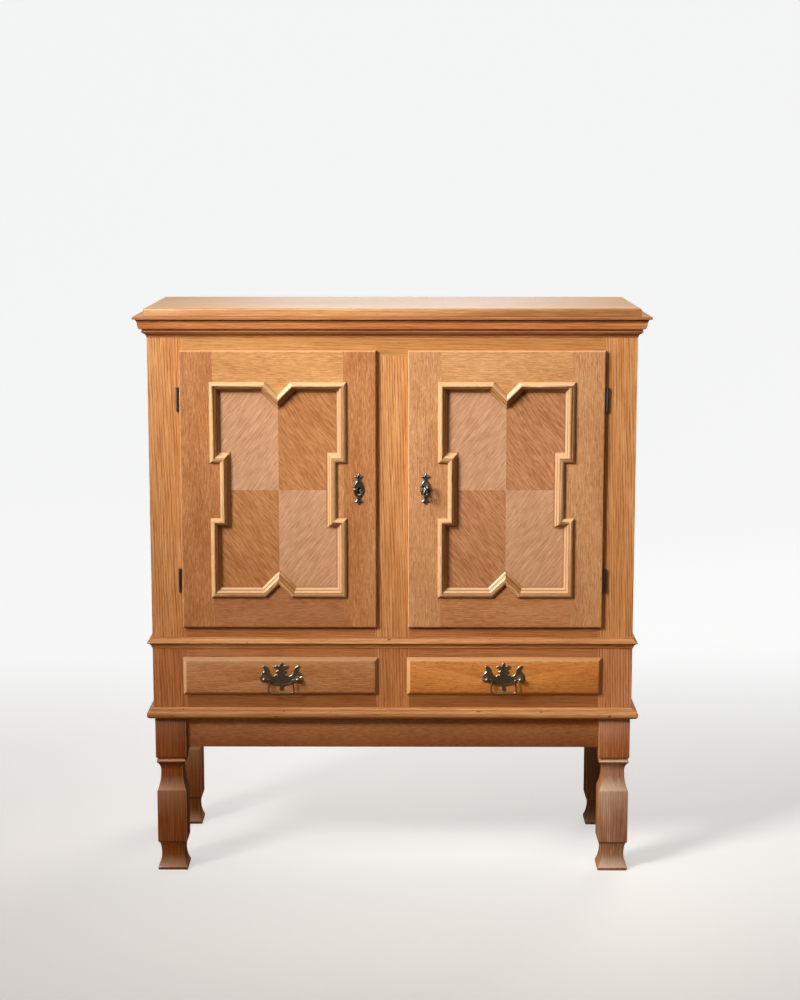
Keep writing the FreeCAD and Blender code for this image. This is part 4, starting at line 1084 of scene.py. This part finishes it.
# Panels: two rosy leaves of veneer and two deeper ones
RICH_LEAVES = {
    Side.LEFT: ("CF945D", "B87A48", "93562C"),
    Side.RIGHT: ("CF9769", "B87D51", "925832"),
}
VENEER = {
    side: VeneerFinish(
        f"oak_{side.node('veneer')}", Grain.LEAVES, "D9AA84", "C8956E", "AC7851",
        line_share=0.15, pore_share=0.35, contrast=0.72, pattern=SLICED,
        centre_mm=(side.value * 252.5, 882.5), deep=rich, deep_pattern=FLAMED,
    )
    for side, rich in RICH_LEAVES.items()
}
# Boards inside: paler and duller oak
PLAIN = {
    grain: OakFinish(
        f"plain_oak_{grain.name.lower()}", grain, "DDB684", "CFA573", "B98C59", "A87A48", roughness=0.55
    )
    for grain in (Grain.LEVEL, Grain.DEEP, Grain.BOX, Grain.UPRIGHT)
}
# Edges of legs and drawer fronts, rubbed pale by hands and cloths
RUBBED = OakFinish(
    "oak_rubbed_edge", Grain.LEVEL, "DDAF80", "CC9763", "B07A4A", line_share=0.1, pattern=SPECKLED
)
# Pulls: brass gone dark, with a warm gleam on the ridges, partly rubbed bare and partly a painted highlight
BRASS = MetalFinish(
    "antique_brass", "8A8069", "2A251B", 0.26, skin_share=0.5, cloud_mm=9.0, edge="BFB092", ridge_wear_and_gleam_share=0.6
)
# Keyhole plates and key: grey metal, bright where it is rubbed, with ridges partly rubbed bare and partly a
# painted highlight, and nearly black in its hollows
PEWTER = MetalFinish("pewter_escutcheon", "AAA59D", "383330", 0.27, skin_share=0.45, cloud_mm=4.0)
KEY = MetalFinish("pewter_key", "C4BEB6", "4A4541", 0.24, skin_share=0.25, cloud_mm=14.0)
# Hinges, locks and pins: dark steel with a soft sheen
STEEL = MetalFinish("dark_hinge_steel", "8C807A", "352D28", 0.3, skin_share=0.3, ridge_wear_and_gleam_share=0.2)


@dataclass
class Carcase:
    """Face frame, case, top and mouldings."""

    body: str = "case"
    top_ease_mm: float = 0.5
    board_ease_mm: float = 1.0

    def build(self) -> None:
        """Dress the boards of the case."""
        dress(FRAME_UPRIGHT, "left_stile", "mullion", "left_side")
        dress(FRAME_RIGHT, "right_stile", "right_side")
        dress(FRAME_LEVEL, "top_rail", "middle_rails", "bottom_rails")
        eased_copy("top_board", self.body, TOP, self.top_ease_mm)
        dress(CORNICE, "cornice")
        dress(CASE_MOULDING, "waist_moulding", "base_moulding")
        eased_copy("shelves", self.body, PLAIN[Grain.LEVEL], self.board_ease_mm)
        dress(PLAIN[Grain.LEVEL], "deck_board", "bottom_board", "back_panel")
        dress(PLAIN[Grain.UPRIGHT], "centre_partition", "drawer_divider")
        dress(PLAIN[Grain.DEEP], "drawer_runners")
        dress(STEEL, "shelf_pins")


@dataclass
class Stand:
    """Carved legs and the aprons between them."""

    body: str = "case"
    leg_ease_mm: float = 1.3
    apron_ease_mm: float = 0.9

    def build(self) -> None:
        """Dress the legs and aprons."""
        for side in Side:
            for end, finish in (("front_leg", LEG[side]), ("back_leg", BACK_LEG[side])):
                eased_copy(side.node(end), self.body, finish, self.leg_ease_mm, worn=RUBBED)
        for node in ("front_apron", "back_apron"):
            eased_copy(node, self.body, APRON, self.apron_ease_mm)
        eased_copy("side_aprons", self.body, FRAME_DEEP, self.apron_ease_mm)


@dataclass
class Door:
    """One framed door with its panel, moulding, lock and hinge halves."""

    side: Side
    notch_mm: float = 57.0
    waist_mm: float = 124.0
    step_mm: float = 22.0
    shield: Casting = Casting(rise_mm=1.9, slope_mm=2.6, dish_mm=0.3, grain_mm=0.35, rounds=4)

    def build(self) -> None:
        """Dress the door."""
        body = self.side.node("door")
        dress(DOOR_UPRIGHT[self.side], self.side.node("door_stiles"))
        dress(DOOR_LEVEL[self.side], self.side.node("door_rails"))
        self.fillers(body)
        dress(VENEER[self.side], self.side.node("door_panel"))
        lay_grain(eased_copy(self.side.node("door_moulding"), body, DOOR_MOULDING, 0.0), self.loop())
        for node in ("door_hinge_leaves", "lock_case", "bolt"):
            dress(STEEL, self.side.node(node))
        self.shield.copy(self.side.node("escutcheon"), body, PEWTER)

    def loop(self) -> list[Vector]:
        """Find the corners of the moulding's outer edge.

        Returns:
            Corners in order round the panel, at y = 0.
        """
        lo, hi = (Vector(corner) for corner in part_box(self.side.node("door_moulding")))
        middle, half = (lo + hi) / 2, (hi - lo) / 2
        notch, waist, step = self.notch_mm / 2 * MM, self.waist_mm / 2 * MM, self.step_mm * MM
        quarter = [(0.0, half.z - notch), (notch, half.z), (half.x, half.z)]
        quarter += [(half.x, waist), (half.x - step, waist)]
        right = quarter + [(x, -z) for x, z in reversed(quarter)]
        corners = right + [(-x, z) for x, z in reversed(right[1:-1])]
        return [Vector((middle.x + x, 0.0, middle.z + z)) for x, z in corners]

    def fillers(self, body: str) -> None:
        """Dress the fillers behind the moulding's steps, with the grain of the rail or stile beside each.

        The one toward the right of the left door is cut from a yellower board.

        Args:
            body: Body of the door.
        """
        node = self.side.node("door_fillers")
        piece = solid_copy(node, node + "_grained")
        wear(piece, DOOR_LEVEL[self.side], DOOR_UPRIGHT[self.side], INNER_FILLER[self.side])
        lo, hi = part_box(self.side.node("door_panel"))
        for face in piece.data.polygons:
            off = face.center.x - (lo[0] + hi[0]) / 2
            face.material_index = int(abs(off) > self.notch_mm * MM) + int(off > self.notch_mm * MM)
        bpy.ops.object.shade_smooth_by_angle(angle=math.radians(CRISP_DEGREES))
        stand_for(piece, node, body)


@dataclass
class Drawer:
    """One drawer with its pull."""

    side: Side
    front_ease_mm: float = 0.7
    plate: Casting = Casting(rise_mm=1.5, slope_mm=2.4, dish_mm=0.6, grain_mm=0.4, rounds=4)

    def build(self) -> None:
        """Dress the drawer."""
        body = self.side.node("drawer")
        front = self.side.node("drawer_front")
        eased_copy(front, body, DRAWER_FACE[self.side], self.front_ease_mm, worn=RUBBED)
        dress(PLAIN[Grain.BOX], self.side.node("drawer_box"))
        dress(PLAIN[Grain.LEVEL], self.side.node("drawer_bottom"))
        self.plate.copy(self.side.node("pull_plate"), body, BRASS)
        dress(BRASS, self.side.node("pull_posts"), self.side.node("bail"))


@dataclass
class Fittings:
    """Hinge halves on the frame, their pins, and the key."""

    key_grain_mm: float = 0.35
    key_rounds: int = 3

    def build(self) -> None:
        """Dress the fittings."""
        dress(STEEL, "hinge_frame_leaves", "hinge_pins")
        key = solid_copy("key", "key_cast")
        wear(key, KEY)
        renew_skin(key, self.key_grain_mm)
        melt_edges(key, self.key_rounds)
        stand_for(key, "key", "door_key")


@dataclass(frozen=True)
class Lamp:
    """One soft rectangular lamp."""

    name: str
    place: tuple[float, float, float]
    aim: tuple[float, float, float]
    wide: float
    tall: float
    watts: float
    colour: str
    spread: float = 180.0
    mirrored: bool = True

    def build(self) -> None:
        """Hang the lamp and point it."""
        data = bpy.data.lights.new(self.name, "AREA")
        data.shape = "RECTANGLE"
        data.size, data.size_y = self.wide, self.tall
        data.energy = self.watts
        data.color = linear(self.colour)[:3]
        data.spread = math.radians(self.spread)
        lamp = bpy.data.objects.new(self.name, data)
        bpy.context.scene.collection.objects.link(lamp)
        lamp.visible_glossy = self.mirrored
        lamp.location = self.place
        lamp.rotation_euler = (Vector(self.aim) - Vector(self.place)).to_track_quat("-Z", "Y").to_euler()


@dataclass
class Studio:
    """Pale floor with a curved wall, soft lamps and the camera."""

    eye: tuple[float, float, float] = (0.0397, -4.7518, 1.5921)
    pitch: float = 9.101
    yaw: float = 0.283
    lens_mm: float = 74.866
    sensor_mm: float = 36.0
    paint: StudioPaint = StudioPaint("pale_studio_paint")
    floor_wide: float = 14.0
    floor_y: float = -0.6
    wall_tall: float = 6.0
    curve: float = 1.2
    curve_steps: int = 16
    near: float = 1e-4
    air: float = 0.06
    air_colour: str = "F0CFA6"
    lamps: tuple[Lamp, ...] = (
        Lamp("window_lamp", (-2.1, -2.3, 2.8), (0.06, -0.2, 1.36), 1.1, 1.5, 17.0, "FFFFFF", 45.0),
        Lamp("high_lamp", (-0.1, -1.15, 2.35), (-0.05, -0.15, 1.25), 2.4, 0.5, 5.0, "FFFFFF", 120.0),
        Lamp("side_lamp", (-2.7, -0.8, 1.2), (0.0, -0.2, 0.9), 0.9, 1.6, 10.0, "FFF6EA"),
        Lamp("low_lamp", (-0.3, -3.4, 0.5), (0.12, -0.2, 0.25), 2.4, 0.6, 0.95, "FFD2A0", 34.0, False),
        Lamp("fill_lamp", (3.0, -3.6, 1.7), (0.1, -0.2, 0.6), 2.2, 1.8, 3.0, "FFB878"),
        Lamp("back_lamp", (0.9, 2.0, 1.9), (0.0, 0.25, 0.8), 1.6, 1.2, 5.0, "FFF4E6", 60.0, False),
    )

    def build(self) -> None:
        """Add the floor, the lamps and the camera."""
        self.floor()
        for lamp in self.lamps:
            lamp.build()
        self.world()
        self.camera()

    def floor(self) -> None:
        """Add a pale floor that curves up into a wall."""
        bpy.ops.object.select_all(action="DESELECT")
        bpy.ops.mesh.primitive_plane_add(size=self.floor_wide, location=(0.0, self.floor_y, 0.0))
        floor = bpy.context.object
        floor.name = "studio_floor"
        bpy.ops.object.transform_apply(location=True)
        bpy.ops.object.mode_set(mode="EDIT")
        bpy.ops.mesh.select_all(action="DESELECT")
        bpy.ops.mesh.select_mode(type="EDGE")
        bpy.ops.object.mode_set(mode="OBJECT")
        back = max(v.co.y for v in floor.data.vertices)
        for edge in floor.data.edges:
            edge.select = all(abs(floor.data.vertices[i].co.y - back) < self.near for i in edge.vertices)
        bpy.ops.object.mode_set(mode="EDIT")
        bpy.ops.mesh.extrude_region_move(TRANSFORM_OT_translate={"value": (0.0, 0.0, self.wall_tall)})
        bpy.ops.object.mode_set(mode="OBJECT")
        for edge in floor.data.edges:
            points = [floor.data.vertices[i].co for i in edge.vertices]
            edge.select = all(abs(p.y - back) < self.near and abs(p.z) < self.near for p in points)
        bpy.ops.object.mode_set(mode="EDIT")
        bpy.ops.mesh.bevel(offset=self.curve, segments=self.curve_steps, affect="EDGES")
        bpy.ops.object.mode_set(mode="OBJECT")
        bpy.ops.object.shade_smooth()
        wear(floor, self.paint)

    def world(self) -> None:
        """Light the room a little from all round, and show the eye a pale room past the wall's ends."""
        world = bpy.data.worlds.new("studio_air")
        bpy.context.scene.world = world
        world.use_nodes = True
        tree = world.node_tree
        tree.nodes.clear()
        seen = add_node(tree, "LightPath")["Is Camera Ray"]
        dim = {"Color": linear(self.air_colour), "Strength": self.air}
        air = add_node(tree, "Background", dim)[0]
        bright = {"Color": linear(self.paint.white), "Strength": self.paint.wall_glow}
        pale = add_node(tree, "Background", bright)[0]
        both = add_node(tree, "MixShader", {0: seen, 1: air, 2: pale})[0]
        add_node(tree, "OutputWorld", {"Surface": both})

    def camera(self) -> None:
        """Put the camera where the picture was taken from."""
        data = bpy.data.cameras.new("camera")
        data.lens = self.lens_mm
        data.sensor_fit = "AUTO"
        data.sensor_width = self.sensor_mm
        camera = bpy.data.objects.new("camera", data)
        bpy.context.scene.collection.objects.link(camera)
        camera.location = self.eye
        camera.rotation_euler = (math.radians(90 - self.pitch), 0.0, math.radians(self.yaw))
        bpy.context.scene.camera = camera
        bpy.context.scene.view_settings.view_transform = "Standard"


def main() -> None:
    """Build and dress the press, and set up the studio."""
    logging.basicConfig(level=logging.INFO, format="%(message)s")
    Carcase().build()
    Stand().build()
    for side in Side:
        Door(side).build()
        Drawer(side).build()
    Fittings().build()
    Studio().build()


if __name__ == "__main__":
    main()
